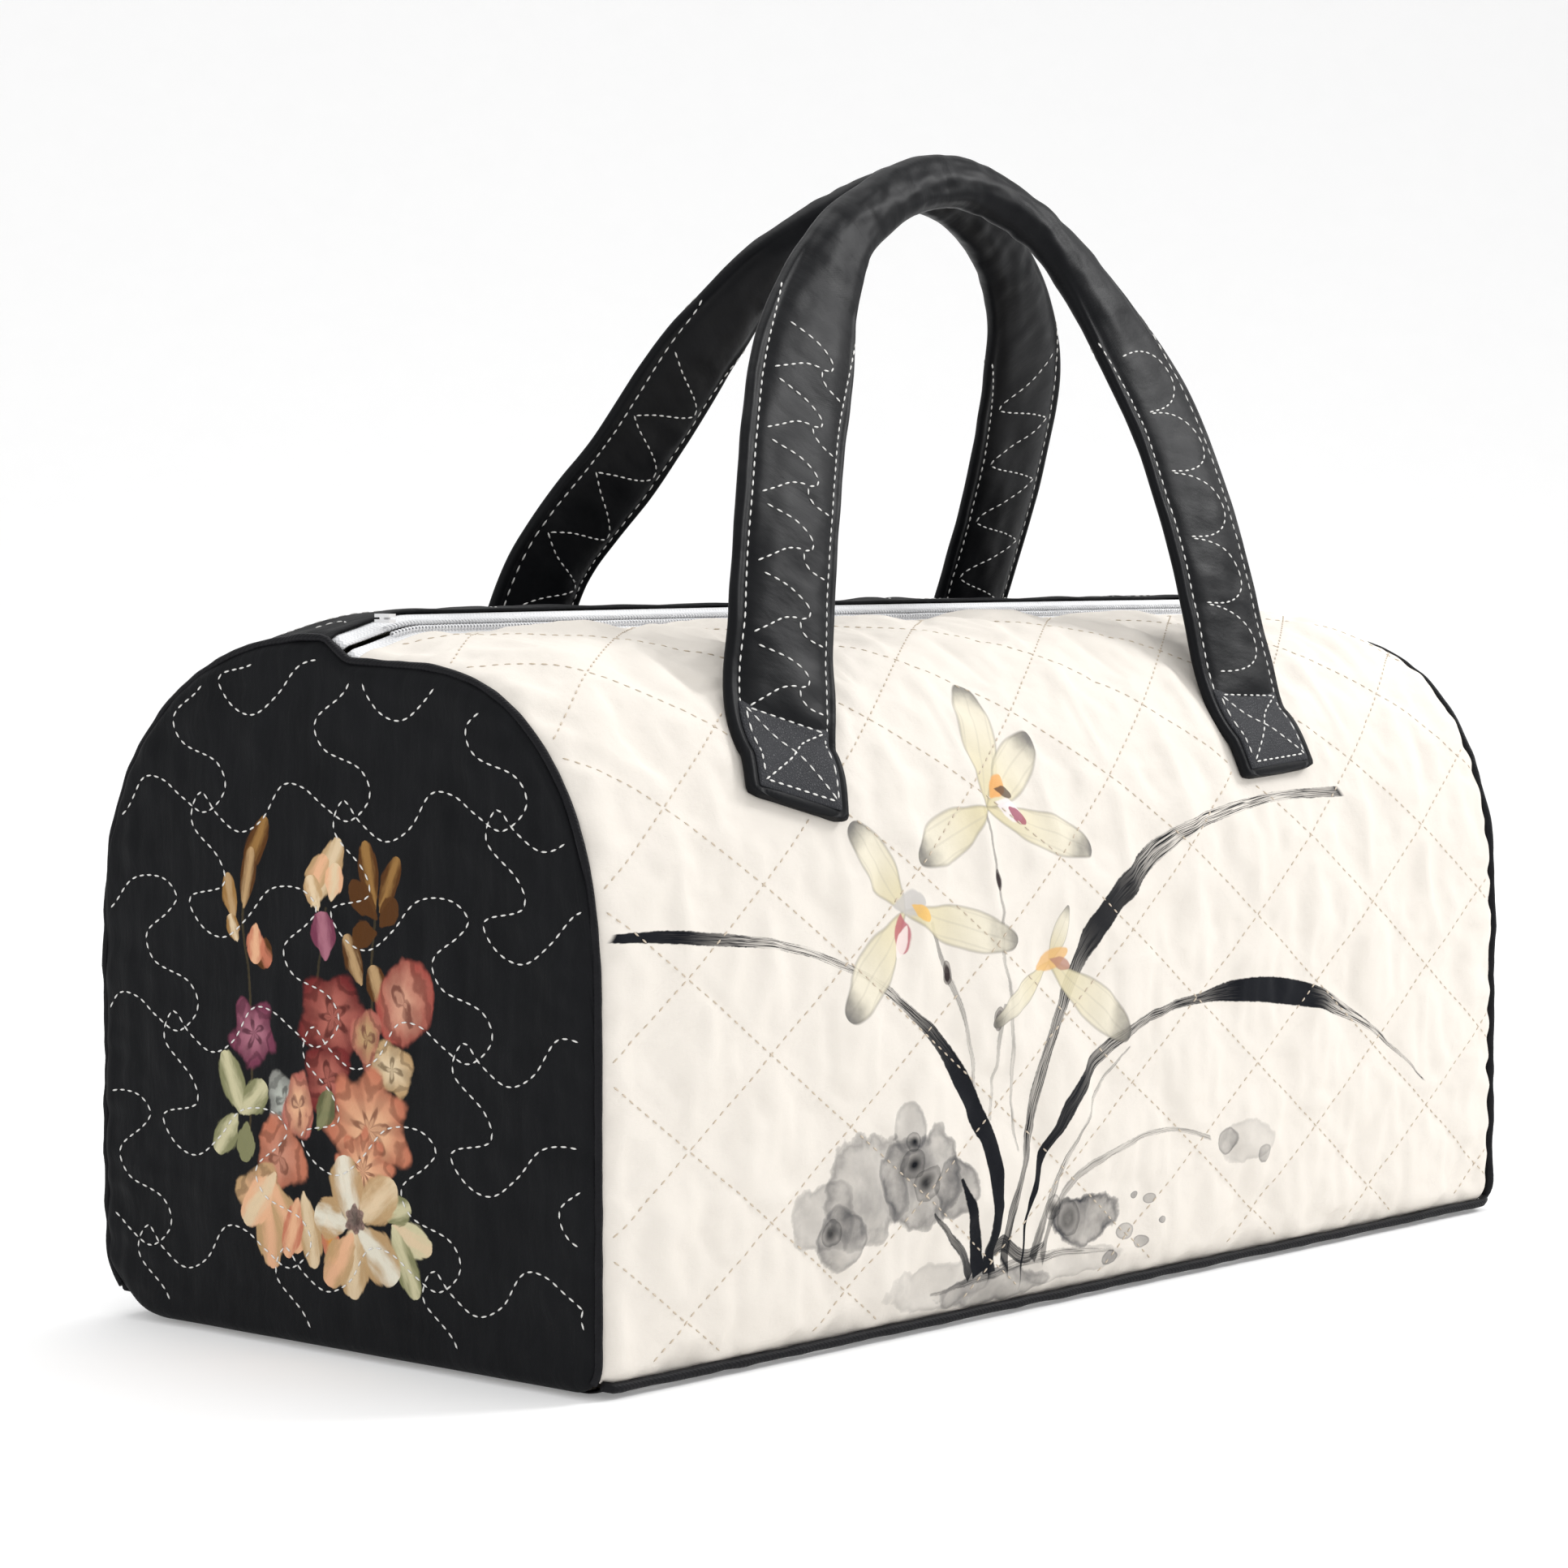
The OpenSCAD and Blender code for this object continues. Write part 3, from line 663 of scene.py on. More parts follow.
# The straps' feet press the quilting flat where they are sewn down. Each has its side of
# the bag, its middle along the bag, and the heights of its lower and upper edge.
feet = {}
for side, wall in wall_names.items():
    for leg in ("left", "right"):
        foot_low, foot_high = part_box(f"{wall}_{leg}_strap_end")
        feet[wall, leg] = (side, (foot_low.x + foot_high.x) / 2, foot_low.z, foot_high.z)
strap_wide = foot_high.x - foot_low.x
foot_slant = {("front", "left"): -0.010, ("front", "right"): 0.002,
              ("back", "left"): -0.004, ("back", "right"): 0.003}


def height_on_wall(side, z):
    """How far up the cloth a height above the table is."""
    line, arc = outlines[side]
    return float(np.interp(z, line[:, 1], arc))


def under_feet(side, flat, margin=0.002):
    """1 where a strap's foot is sewn over the cloth, and 0 clear of it."""
    covered = np.zeros(len(flat))
    for key, (foot_side, x, z_low, z_high) in feet.items():
        if foot_side == side:
            low, high = height_on_wall(side, z_low), height_on_wall(side, z_high)
            share = np.clip((flat[:, 1] - low) / (high - low), 0, 1)
            off = np.abs(flat[:, 0] - x - foot_slant[key] * (1 - share)) - strap_wide / 2
            beyond = np.maximum(low - flat[:, 1], flat[:, 1] - high)
            covered = np.maximum(covered, ease(1 - (np.maximum(off, beyond) - margin) / 0.006))
    return covered


def puckers(flat, distance, seed):
    """Short gathers that run in from a sewn edge, where the cloth is eased to the seam."""
    along = np.stack([flat[:, 0] * 0.25, flat[:, 1], flat[:, 0] * 0], 1)
    reach = np.exp(-distance / 0.010) * (1 - np.exp(-distance / 0.0015))
    return 0.0016 * reach * ripple(along, 0.0055, seed, 1)


def quilt(piece, flat, seam, edge, foot, seed, puff, sag):
    """Swells a wall between its seams by simulation, then presses the seams and creases it."""
    spots = spots_of(piece)
    held = (seam < 0.0003) | (edge < 0.0003) | (foot > 0.3)
    plump(piece, held, 2.2, 0.035, puff * 1.35)
    crease = ripple(spots, (0.028, 0.020, 0.012), seed, 3) * 0.0011 + ripple(spots, 0.09, seed + 7, 2) * sag
    crease += ripple(spots, (0.009, 0.009, 0.007), seed + 3, 2) * 0.00025
    crease = np.maximum(crease, 0.55 * crease)
    shift(piece, crease * (1 - foot) * np.minimum(1, seam / 0.006 + 0.25) * ease(edge / 0.012)
          + puckers(flat, edge, seed + 1) * (1 - foot))


front_foot = under_feet(-1, front_flat)
quilt(front_face, front_flat, seam_distance, edge_distance, front_foot, 2.0, 0.0042, 0.0014)
thicken(front_face, face_thickness, 1)
bend_with_mouth(front_face, -1)
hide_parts("front_wall", "front_flap")

# ---- Diamond stitching --------------------------------------------------------------
# The quilt seams are machine stitches in cream cotton, each a short bead of thread that
# has pulled a little way into the cloth.
thread_bm = bmesh.new()
bmesh.ops.create_icosphere(thread_bm, subdivisions=1, radius=0.5)
bead = bpy.data.meshes.new("bead")
thread_bm.to_mesh(bead)
thread_bm.free()
bead_rest = np.array([v.co for v in bead.vertices])


def thread(name, colour):
    """Twisted cotton or polyester sewing thread."""
    def twist(s):
        fuzz = s.place(1000.0).cloud(2.2, 2.0)
        shade = tuple(c * 0.72 for c in colour[:3]) + (1,)
        return {"Base_Color": fuzz.mix(shade, colour)}, fuzz, 0.0001
    return finish_of(name, twist, Roughness=0.55, Sheen_Weight=0.2)


def skin_of(piece):
    """The finished surface of a piece, to lay stitches on."""
    graph = bpy.context.evaluated_depsgraph_get()
    return BVHTree.FromObject(piece, graph)


def sew(name, skin, where, runs, look, pitch, show, wide, sunk=0.25):
    """Stitches along runs of flat points, each laid on the skin of the finished cloth."""
    bm = bmesh.new()
    for run in runs:
        run = np.asarray(run, float)
        arc = np.concatenate([[0], np.cumsum(np.hypot(*np.diff(run, axis=0).T))])
        starts = np.arange(pitch * 0.3, arc[-1] - show * 0.8, pitch)
        if len(starts) == 0:
            continue
        ends = np.concatenate([starts, starts + show])
        flat = np.stack([np.interp(ends, arc, run[:, 0]), np.interp(ends, arc, run[:, 1])], 1)
        spots, ways = where(flat)
        laid = []
        for spot, way in zip(spots, ways):
            spot, way = Vector(spot), Vector(way)
            hit = skin.ray_cast(spot + way * 0.010, -way, 0.022)
            laid.append((hit[0], hit[1]) if hit[0] else None)
        for a, b in zip(laid[:len(starts)], laid[len(starts):]):
            if a is None or b is None or (b[0] - a[0]).length > show * 2:
                continue
            along = b[0] - a[0]
            length = along.length
            along.normalize()
            beside = a[1].cross(along).normalized()
            up = along.cross(beside)
            middle = (a[0] + b[0]) / 2 + up * wide * (0.4 - sunk)
            frame_of = np.array([beside * wide, up * wide * 0.8, along * length * 1.05])
            bead.vertices.foreach_set("co", (bead_rest @ frame_of + np.array(middle)).ravel())
            bm.from_mesh(bead)
    return add_piece(name, bm, look)


def diamond_runs(low, high, bottom, top):
    """Both families of diamond seams, cut to the wall."""
    runs = []
    slope = diamond_high / diamond_wide
    for lean in (1, -1):
        for i in range(-12, 14):
            x = np.arange(low, high, 0.002)
            s = diamond_s + lean * slope * (x - diamond_x) + i * diamond_high
            inside = (s > bottom) & (s < top)
            if inside.sum() > 3:
                runs.append(np.stack([x[inside], s[inside]], 1))
    return runs


def kept_runs(line, inside, least=1):
    """The stretches of a line of at least so many points that lie inside."""
    cuts = np.flatnonzero(np.diff(inside.astype(int))) + 1
    return [part for part, keep in zip(np.split(line, cuts), np.split(inside, cuts))
            if keep[0] and len(part) >= least]


margin = 0.004
front_runs = []
for run in diamond_runs(-face_end + margin, face_end - margin, margin, wall_top - margin):
    front_runs += kept_runs(run, under_feet(-1, run, 0.0) < 0.9)
cream_stitch = dict(look=thread("cream_thread", (0.62, 0.52, 0.40, 1)),
                    pitch=0.0036, show=0.0021, wide=0.00062, sunk=0.30)
front_stitches = sew("front_quilt_stitches", skin_of(front_face), lambda flat: on_wall(-1, flat), front_runs,
                     **cream_stitch)
bend_with_mouth(front_stitches, -1)

# ---- Back wall ----------------------------------------------------------------------
# The back is black sateen, quilted in a free-motion meander with white thread. The seam
# wanders like the edge of a jigsaw piece: across, down, back and down again.
meander_pitch = 0.061
meander_step = (-0.013, -0.065)
meander_turns = [(0, 0), (-4, -9), (8, -19), (10, -27), (-5, -31), (0, -39), (10, -42), (20, -36),
                 (30, -27), (43, -26), (50, -31), (46, -36), (36, -43), (40, -51), (55, -56), (59, -64),
                 (50, -71), (40, -67), (31, -62), (22, -62), (14, -72), (4, -76), (-6, -71)]


def through(knots, steps):
    """Points of a smooth curve that passes through all the knots but the first and the last."""
    line = []
    for i in range(1, len(knots) - 2):
        p0, p1, p2, p3 = knots[i - 1:i + 3]
        for t in np.linspace(0, 1, steps, endpoint=False):
            line.append(0.5 * (2 * p1 + (p2 - p0) * t + (2 * p0 - 5 * p1 + 4 * p2 - p3) * t ** 2
                               + (3 * p1 - p0 - 3 * p2 + p3) * t ** 3))
    return line


def meander(low, high, bottom, top, start):
    """Runs of meander stitching over a flat rectangle, as smooth curves through the turns."""
    runs = []
    column = low - 2 * meander_pitch
    while column < high + 2 * meander_pitch:
        knots = []
        rows = int((top - bottom) / -meander_step[1]) + 3
        for row in range(rows):
            for a, b in meander_turns:
                knots.append((column + a * 0.001 + meander_step[0] * row,
                              top + start + b * 0.001 + meander_step[1] * row))
        line = np.array(through(np.array(knots), 8))
        inside = (line[:, 0] > low) & (line[:, 0] < high) & (line[:, 1] > bottom) & (line[:, 1] < top)
        runs += kept_runs(line, inside, 5)
        column += meander_pitch
    return runs


def near_runs(flat, runs):
    """The nearest point of the stitching to each point of cloth, and how far it is."""
    samples = np.concatenate(runs)
    tree = KDTree(len(samples))
    for i, (a, b) in enumerate(samples):
        tree.insert((a, b, 0), i)
    tree.balance()
    found = [tree.find((a, b, 0)) for a, b in flat]
    return np.array([f[0][:2] for f in found]), np.array([f[2] for f in found])


def onto_seams(flat, runs, reach, free):
    """Moves the flat points nearest to the stitching onto it, so that the seams run smooth."""
    nearest, distance = near_runs(flat, runs)
    close = (distance < reach) & free
    flat = flat.copy()
    flat[close] = nearest[close]
    distance[close] = 0
    return flat, distance


def black_sateen(s):
    """Deep black sateen, lint-free, with a close twill that catches the light, and a soft sheen and shade painted
    into its colour along the creases.
    """
    where = s.place(1000.0)
    x, y, z = where.parts()
    twill = ((x + y) * 9.0 + z * 9.0).wave()
    cloudy = where.cloud(0.05)
    crease = s.point((x + y) * 0.30, z * 0.07).cloud(1.0, 4.0)
    # Painted sheen and shade: the colour follows the crease relief, lighter on its ridges and darker in its
    # hollows, over the cloth's own cloudy unevenness.
    tone = (cloudy * 0.6 + crease * 0.5).mix((0.0035, 0.0037, 0.0042, 1), (0.0120, 0.0125, 0.0140, 1))
    return {"Base_Color": tone, "Roughness": cloudy * 0.15 + 0.48}, twill * 0.010 + crease * 0.35, 0.001


black_feel = dict(Specular_IOR_Level=0.05)
black_cloth = finish_of("black_sateen", black_sateen, **black_feel)
white_stitch = dict(look=thread("white_thread", (0.80, 0.79, 0.76, 1)),
                    pitch=0.0034, show=0.0023, wide=0.0006)
back_top = outlines[1][1][-1] - zip_gap
grid_step = 0.0029
back_across = np.linspace(-face_end, face_end, int(2 * face_end / grid_step))
back_up = np.linspace(0, back_top, int(back_top / grid_step))
back_runs = meander(-face_end + 0.006, face_end - 0.006, 0.006, back_top - 0.006, 0.02)
back_face, back_flat = cloth("back_wall_cloth", back_across, back_up,
                             lambda flat: on_wall(1, flat)[0], black_cloth, turned=True)
back_edge = np.minimum(face_end - np.abs(back_flat[:, 0]),
                       np.minimum(back_flat[:, 1], back_top - back_flat[:, 1]))
snapped, back_seam = onto_seams(back_flat, back_runs, grid_step * 0.62, back_edge > grid_step)
move_to(back_face, on_wall(1, snapped)[0])
quilt(back_face, snapped, back_seam, back_edge, under_feet(1, snapped), 5.0, 0.0030, 0.0016)
thicken(back_face, face_thickness, 1)
bend_with_mouth(back_face, 1)
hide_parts("back_wall", "back_flap")
back_stitches = sew("back_quilt_stitches", skin_of(back_face), lambda flat: on_wall(1, flat),
                    back_runs, **white_stitch)
bend_with_mouth(back_stitches, 1)

# ---- End panels ---------------------------------------------------------------------
# Each end is one arched panel of the black sateen, quilted in the same meander. The left
# one is printed with a bouquet in the manner of an old flower painting.
end_inset = 0.0012
corner_turn = 0.0045


def end_heights(y):
    """Lowest and highest point of an end panel at each y, which is + at the back."""
    r = np.where(y < 0, corner_radius[-1], corner_radius[1])
    depth = half_depth - end_inset
    into = np.clip(np.abs(y) - (depth - r), 0, r)
    low = end_inset * 0.5 + r - np.sqrt(np.maximum(r * r - into * into, 0))
    share = np.clip(np.abs(y) / depth, 0, 1)
    crown = (1 - share ** squareness) ** (1 / squareness)
    return low, shoulder_start + (top_rise - end_drop - 0.001) * crown - dip(y)


def end_rim(y, z):
    """How far inside the edge of an end panel each point is."""
    low, high = end_heights(y)
    return np.minimum(np.minimum(z - low, high - z), half_depth - end_inset - np.abs(y))


def on_end(end, flat, deep=0.0):
    """Where points (y, z) of an end panel lie: it turns in to its seam and swells at its middle."""
    y, z = np.atleast_2d(flat).T
    share = np.clip(1 - np.maximum(end_rim(y, z), 0) / corner_turn, 0, 1)
    turned_in = 0.0032 * (1 - np.sqrt(1 - share ** 2))
    middle = (1 - (y / half_depth) ** 2) * np.clip(z * (body_top - z) * 4 / body_top ** 2, 0, 1)
    out = half_length - turned_in + 0.0016 * middle - deep
    spots = np.stack([end * out, y, z], 1)
    return spots, np.stack([np.full_like(y, end), y * 0, y * 0], 1)


def end_grid(count_y, count_z):
    """Flat points of an end panel in rows, closer together where its outline is steep."""
    line, arc = outlines[-1]
    over = line[:, 1] >= shoulder_start
    along = (arc[over] - arc[over][0]) / (arc[over][-1] - arc[over][0])
    p = np.linspace(-1, 1, count_y)
    curved = np.interp(1 - np.abs(p), along, -line[over, 0]) / half_depth
    y = (half_depth - end_inset) * np.sign(p) * (0.45 * np.abs(p) + 0.55 * curved)
    return p, y, np.linspace(0, 1, count_z)


def bloom(centre, radius, petals, inner, outer, seed, wide=1.0):
    """A round painted flower, ringed petal over petal."""
    def lay(s, x, z, wobble, paint):
        u = (0 - x - centre[0]) / (radius * wide)
        v = (z - centre[1]) / radius
        rough = s.point(u, v, seed).cloud(1.6, 3.0) - 0.5
        reach = (u ** 2.0 + v ** 2.0).root()
        lobes = (s.math("ARCTAN2", v, u) * petals + reach * 1.5 + seed).wave()
        edge = reach + lobes * -0.13 + rough * 0.5
        shell = (reach * 9.0 + lobes * 1.6 + rough * 9.0).wave()
        tone = (reach * 0.9 + rough * 0.8).fade(0.1, 0.95).mix(inner, outer)
        dark = tuple(c * 0.30 for c in outer[:3]) + (1,)
        tone = (shell.fade(0.2, 0.95) * 0.5 + lobes.fade(0.3, -0.9) * 0.3).mix(tone, dark)
        return (edge.fade(1.02, 0.86) * 0.95).mix(paint, tone)
    across = radius * wide
    mark([(-centre[0] - across, centre[1] - radius), (-centre[0] + across, centre[1] + radius)],
         radius * 0.3, 42, lay)


def leaf(base, tip, wide, light, dark, seed):
    """A painted leaf, petal or bud from base to tip, lighter down its middle."""
    def lay(s, x, z, wobble, paint):
        cover, along, across = teardrop(0 - x, z, base, tip, wide)
        rough = s.point(along, across, seed).cloud(3.0, 3.0) - 0.5
        tone = (across.size() + rough * 0.9).fade(0.05, 0.75).mix(light, dark)
        return ((cover + rough * 0.5).fade(0.0, 0.16) * 0.94).mix(paint, tone)
    mark([(-base[0], base[1]), (-tip[0], tip[1])], wide + 1, 34, lay)


def painted_bouquet():
    """Marks of a bouquet: roses, lilies, tulips and leaves that fade into the dark cloth."""
    ochre, umber = (0.30, 0.16, 0.05, 1), (0.09, 0.035, 0.010, 1)
    cream, sand = (0.70, 0.55, 0.36, 1), (0.46, 0.30, 0.15, 1)
    rose, wine = (0.42, 0.13, 0.10, 1), (0.16, 0.022, 0.022, 1)
    peach, coral = (0.74, 0.42, 0.25, 1), (0.50, 0.17, 0.10, 1)
    pale, sage = (0.58, 0.54, 0.34, 1), (0.22, 0.22, 0.11, 1)
    mauve, plum = (0.38, 0.15, 0.20, 1), (0.17, 0.04, 0.075, 1)
    chalk, moss = (0.74, 0.70, 0.58, 1), (0.10, 0.11, 0.05, 1)
    for i, (route, load) in enumerate((([(35, 60), (34, 96), (37, 126), (28, 150)], 0.55),
                                       ([(-20, 70), (-17, 108), (-18, 134), (-16, 146)], 0.5),
                                       ([(8, 80), (5, 112), (2, 128)], 0.4))):
        stroke(route, (0.5, 0.6, 0.5), (0.2, 0.5, 0.3), 50.0 + i, load, (0.10, 0.075, 0.035, 1))
    behind = [((-37, 134), (-27, 153), 4.0, ochre, umber), ((-37, 126), (-33, 144), 3.4, sand, umber),
              ((-41, 122), (-44, 136), 3.4, sand, ochre), ((-40, 116), (-43, 124), 3.0, cream, ochre),
              ((-34, 118), (-26, 110), 5.0, coral, umber), ((-32, 122), (-33, 110), 4.0, peach, coral),
              ((-8, 128), (4, 148), 5.4, cream, sand), ((-10, 131), (-2, 143), 4.4, peach, sand),
              ((-5, 127), (-9, 137), 3.8, cream, sand), ((0, 130), (2, 141), 4.0, cream, peach),
              ((-2, 113), (-4, 127), 5.4, mauve, plum), ((18, 128), (14, 148), 4.2, ochre, umber),
              ((20, 128), (28, 144), 3.8, ochre, umber), ((19, 126), (8, 136), 4.6, umber, umber),
              ((20, 124), (27, 132), 4.0, umber, umber), ((19, 122), (9, 121), 4.4, umber, umber),
              ((13, 107), (6, 121), 4.2, sand, umber), ((22, 100), (17, 113), 4.2, sand, umber)]
    blooms = [((1, 97), 13, 5, rose, wine, 1.15), ((-1, 79), 11, 4, rose, wine, 0.95),
              ((30, 103), 14, 2, (0.62, 0.32, 0.22, 1), (0.34, 0.07, 0.055, 1), 0.75),
              ((-33, 90), 10, 5, mauve, plum, 0.95), ((15, 92), 9, 3, sand, rose, 0.7),
              ((-20, 72), 8, 3, (0.45, 0.47, 0.42, 1), (0.24, 0.24, 0.22, 1), 1.0),
              ((-14, 70), 10, 3, peach, rose, 0.65), ((25, 84), 8, 4, cream, sand, 1.1),
              ((-22, 55), 11, 3, (0.55, 0.25, 0.17, 1), coral, 1.0), ((15, 66), 17, 7, peach, coral, 1.0),
              ((13, 54), 12, 9, peach, coral, 1.0), ((-30, 43), 9, 4, peach, sand, 1.2)]
    before = [((-38, 66), (-46, 84), 5.6, pale, sage), ((-38, 66), (-28, 76), 5.4, pale, sage),
              ((-40, 66), (-50, 54), 5.0, pale, sage), ((-36, 64), (-38, 52), 4.4, sage, sage),
              ((-6, 64), (0, 76), 4.4, sage, moss), ((-28, 46), (-26, 22), 6.4, peach, sand),
              ((-26, 48), (-14, 28), 6.0, peach, sand), ((-24, 50), (-38, 34), 6.0, cream, peach),
              ((-12, 46), (-8, 24), 5.0, cream, sand), ((-14, 44), (-20, 26), 4.6, peach, coral),
              ((-3, 40), (0, 26), 4.0, (0.62, 0.28, 0.06, 1), coral),
              ((24, 40), (40, 34), 5.2, cream, pale),
              ((24, 40), (34, 20), 5.2, pale, sage), ((20, 42), (32, 46), 4.4, pale, sage),
              ((8, 38), (4, 58), 7.4, chalk, sand), ((10, 40), (26, 52), 7.4, cream, sand),
              ((10, 38), (26, 24), 7.4, chalk, sand), ((8, 38), (8, 17), 7.4, cream, sand),
              ((6, 38), (-8, 40), 6.6, chalk, sand), ((8, 36), (-3, 20), 6.2, peach, sand)]
    for i, (base, tip, wide, light, dark) in enumerate(behind):
        leaf(base, tip, wide, light, dark, 1.7 * i)
    for i, (centre, radius, petals, inner, outer, wide) in enumerate(blooms):
        bloom(centre, radius, petals, inner, outer, 2.3 * i + 1.0, wide)
    for i, (base, tip, wide, light, dark) in enumerate(before):
        leaf(base, tip, wide, light, dark, 31 + 1.3 * i)
    bloom((9, 40), 4.2, 6, (0.10, 0.07, 0.06, 1), (0.25, 0.16, 0.14, 1), 9.0)


p_lines, y_lines, q_lines = end_grid(97, 91)
for end, end_name in ((-1, "left"), (1, "right")):
    def lay(flat, end=end):
        y = np.interp(flat[:, 0], p_lines, y_lines)
        low, high = end_heights(y)
        return on_end(end, np.stack([y, low + (high - low) * flat[:, 1]], 1))[0]
    panel, _ = cloth(f"{end_name}_end_cloth", p_lines, q_lines, lay, black_cloth, turned=end < 0)
    flat = spots_of(panel)[:, 1:]
    rim = end_rim(*flat.T)
    kept = []
    for run in meander(-half_depth, half_depth, 0.004, body_top, 0.012):
        run = run * (-1, 1)
        bottom, top = end_heights(run[:, 0])
        inside = (run[:, 1] > bottom + 0.006) & (run[:, 1] < top - 0.005)
        kept += kept_runs(run, inside & (np.abs(run[:, 0]) < half_depth - 0.005), 6)
    snapped, seam = onto_seams(flat, kept, 0.0014, rim > 0.004)
    move_to(panel, on_end(end, snapped)[0])
    quilt(panel, snapped, seam, np.maximum(rim, 0), np.zeros(len(flat)), 8.0 + end, 0.0030, 0.0014)
    folds = ripple(np.stack([flat[:, 0], flat[:, 1] * 0.16, flat[:, 0] * 0], 1), 0.0085, 3.0 + end, 2)
    shift(panel, folds * 0.0007 * ease(rim / 0.010) * np.minimum(1, seam / 0.004 + 0.2))
    layer = panel.data.uv_layers["cloth"].data
    for loop, uv in zip(panel.data.loops, layer):
        uv.uv = snapped[loop.vertex_index]
    if end < 0:
        painted_bouquet()
        print_on(panel, "bouquet_print", black_sateen, (-60.0, 0.0), (60.0, 170.0), **black_feel)
    thicken(panel, face_thickness, 1)
    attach(panel, "bag")
    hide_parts(f"{end_name}_end_panel")
    stitches = sew(f"{end_name}_end_stitches", skin_of(panel), lambda f, end=end: on_end(end, f), kept,
                   **white_stitch)
    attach(stitches, "bag")

# ---- Wadding ------------------------------------------------------------------------
# A soft batt of bonded polyester lies behind the face cloth of every wall. It is covered
# on both sides, and it bends with the mouth flaps.
def batt(s):
    fibre = s.place(1000.0).cloud(0.8, 5.0)
    return {"Base_Color": fibre.mix((0.62, 0.61, 0.58, 1), (0.80, 0.79, 0.76, 1))}, fibre * 0.6, 0.001


wadding_look = finish_of("bonded_wadding", batt, Roughness=0.95, Sheen_Weight=0.4)
inner_step = 0.006
wadding_depth, wadding_thickness = 0.0036, 0.0012
inner_end = half_length - 0.0060


def inner_sheet(name, side, depth, start, stop, look, creases, turned):
    """A sheet inside a wall, at a depth below the face, between two heights up the cloth."""
    across = np.linspace(-inner_end, inner_end, int(2 * inner_end / inner_step))
    up = np.linspace(start, stop, int((stop - start) / inner_step * 1.4))
    sheet, flat = cloth(name, across, up, lambda f: on_wall(side, f, depth)[0], look, turned=turned)
    rim = np.minimum(inner_end - np.abs(flat[:, 0]), np.minimum(flat[:, 1] - start, stop - flat[:, 1]))
    if creases:
        folds = np.abs(ripple(spots_of(sheet), (0.030, 0.024, 0.016), side * 4.0 + 9, 3))
        shift(sheet, -folds * creases * ease(rim / 0.02))
    return sheet


for side, wall in wall_names.items():
    top = outlines[side][1][-1] - zip_gap - 0.012
    sheet = inner_sheet(f"{wall}_wadding_batt", side, wadding_depth, 0.012, top, wadding_look, 0, side > 0)
    thicken(sheet, wadding_thickness)
    bend_with_mouth(sheet, side)
    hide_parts(f"{wall}_wadding", f"{wall}_flap_wadding")
end_wadding_width, end_wadding_depth = 0.975, 0.0028
for end, end_name in ((-1, "left"), (1, "right")):
    def within(flat, end=end):
        y = np.interp(flat[:, 0], p_lines, y_lines) * end_wadding_width
        low, high = end_heights(y / end_wadding_width)
        z = low + 0.003 + (high - low - 0.007) * flat[:, 1]
        return on_end(end, np.stack([y, z], 1), end_wadding_depth)[0]
    sheet, _ = cloth(f"{end_name}_end_wadding_batt", p_lines[::4], q_lines[::3], within,
                     wadding_look, turned=end < 0)
    thicken(sheet, wadding_thickness)
    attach(sheet, "bag")
    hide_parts(f"{end_name}_end_wadding")

# ---- Lining -------------------------------------------------------------------------
# The inside is a plain oat-coloured cotton, sewn up with the walls, turned in along the
# zip and a little loose between its seams.
def oat_cotton(s):
    where = s.place(1000.0)
    x, y, z = where.parts()
    weave = (x * 7.5).wave() * ((y + z) * 7.5).wave()
    slub = s.point(x * 0.2, (y + z) * 2.4).cloud(1.5, 2.0)
    fleck = where.cloud(0.7, 2.0).fade(0.62, 0.72)
    tone = slub.mix((0.50, 0.43, 0.34, 1), (0.60, 0.53, 0.43, 1))
    tone = (fleck * 0.5).mix(tone, (0.30, 0.25, 0.19, 1))
    return {"Base_Color": tone}, weave * 0.04 + slub * 0.08, 0.001


lining_look = finish_of("oat_cotton", oat_cotton, Roughness=0.85, Sheen_Weight=0.2)
lining_depth, lining_thickness = 0.0056, 0.0007
end_lining_width = 0.955
base_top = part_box("base_lining")[1].z
for side, wall in wall_names.items():
    start = height_on_wall(side, base_top) + 0.004 if side > 0 else 0.010
    top = outlines[side][1][-1] - zip_gap - 0.002
    sheet = inner_sheet(f"{wall}_lining_cloth", side, lining_depth, start, top, lining_look, 0.004, side > 0)
    thicken(sheet, lining_thickness, 1)
    bend_with_mouth(sheet, side)
    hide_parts(f"{wall}_lining", f"{wall}_flap_lining")
    top - start
for end, end_name in ((-1, "left"), (1, "right")):
    outer = max(abs(corner.x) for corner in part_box(f"{end_name}_end_lining"))
    bm = bmesh.new()
    bmesh.ops.create_grid(bm, x_segments=48, y_segments=46, size=1)
    for v in bm.verts:
        y = float(np.interp(v.co.x, p_lines, y_lines)) * end_lining_width
        low, high = (float(h[0]) for h in end_heights(np.array([y / end_lining_width])))
        low, high = max(low + 0.0045, base_top), high - 0.0050
        z = low + (high - low) * (v.co.y + 1) / 2
        rim = min(0.99 * half_depth - abs(y), z - low, high - z)
        slack = abs(noise.fractal(Vector((y / 0.03, z / 0.05, 7.0 + end)), 1.0, 2.0, 3)) * 0.004
        v.co = (end * (outer - 0.0008 - slack * float(ease(rim / 0.02))), y, z)
    if end > 0:
        bmesh.ops.reverse_faces(bm, faces=bm.faces[:])
    sheet = add_piece(f"{end_name}_end_lining_cloth", bm, lining_look)
    thicken(sheet, lining_thickness, 1)
    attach(sheet, "bag")
    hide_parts(f"{end_name}_end_lining")

# ---- Base ---------------------------------------------------------------------------
# The bottom is a flat panel of the black sateen over a stiff board that keeps the bag
# standing; the lining lies over the board.
panel_low, panel_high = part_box("base_panel")


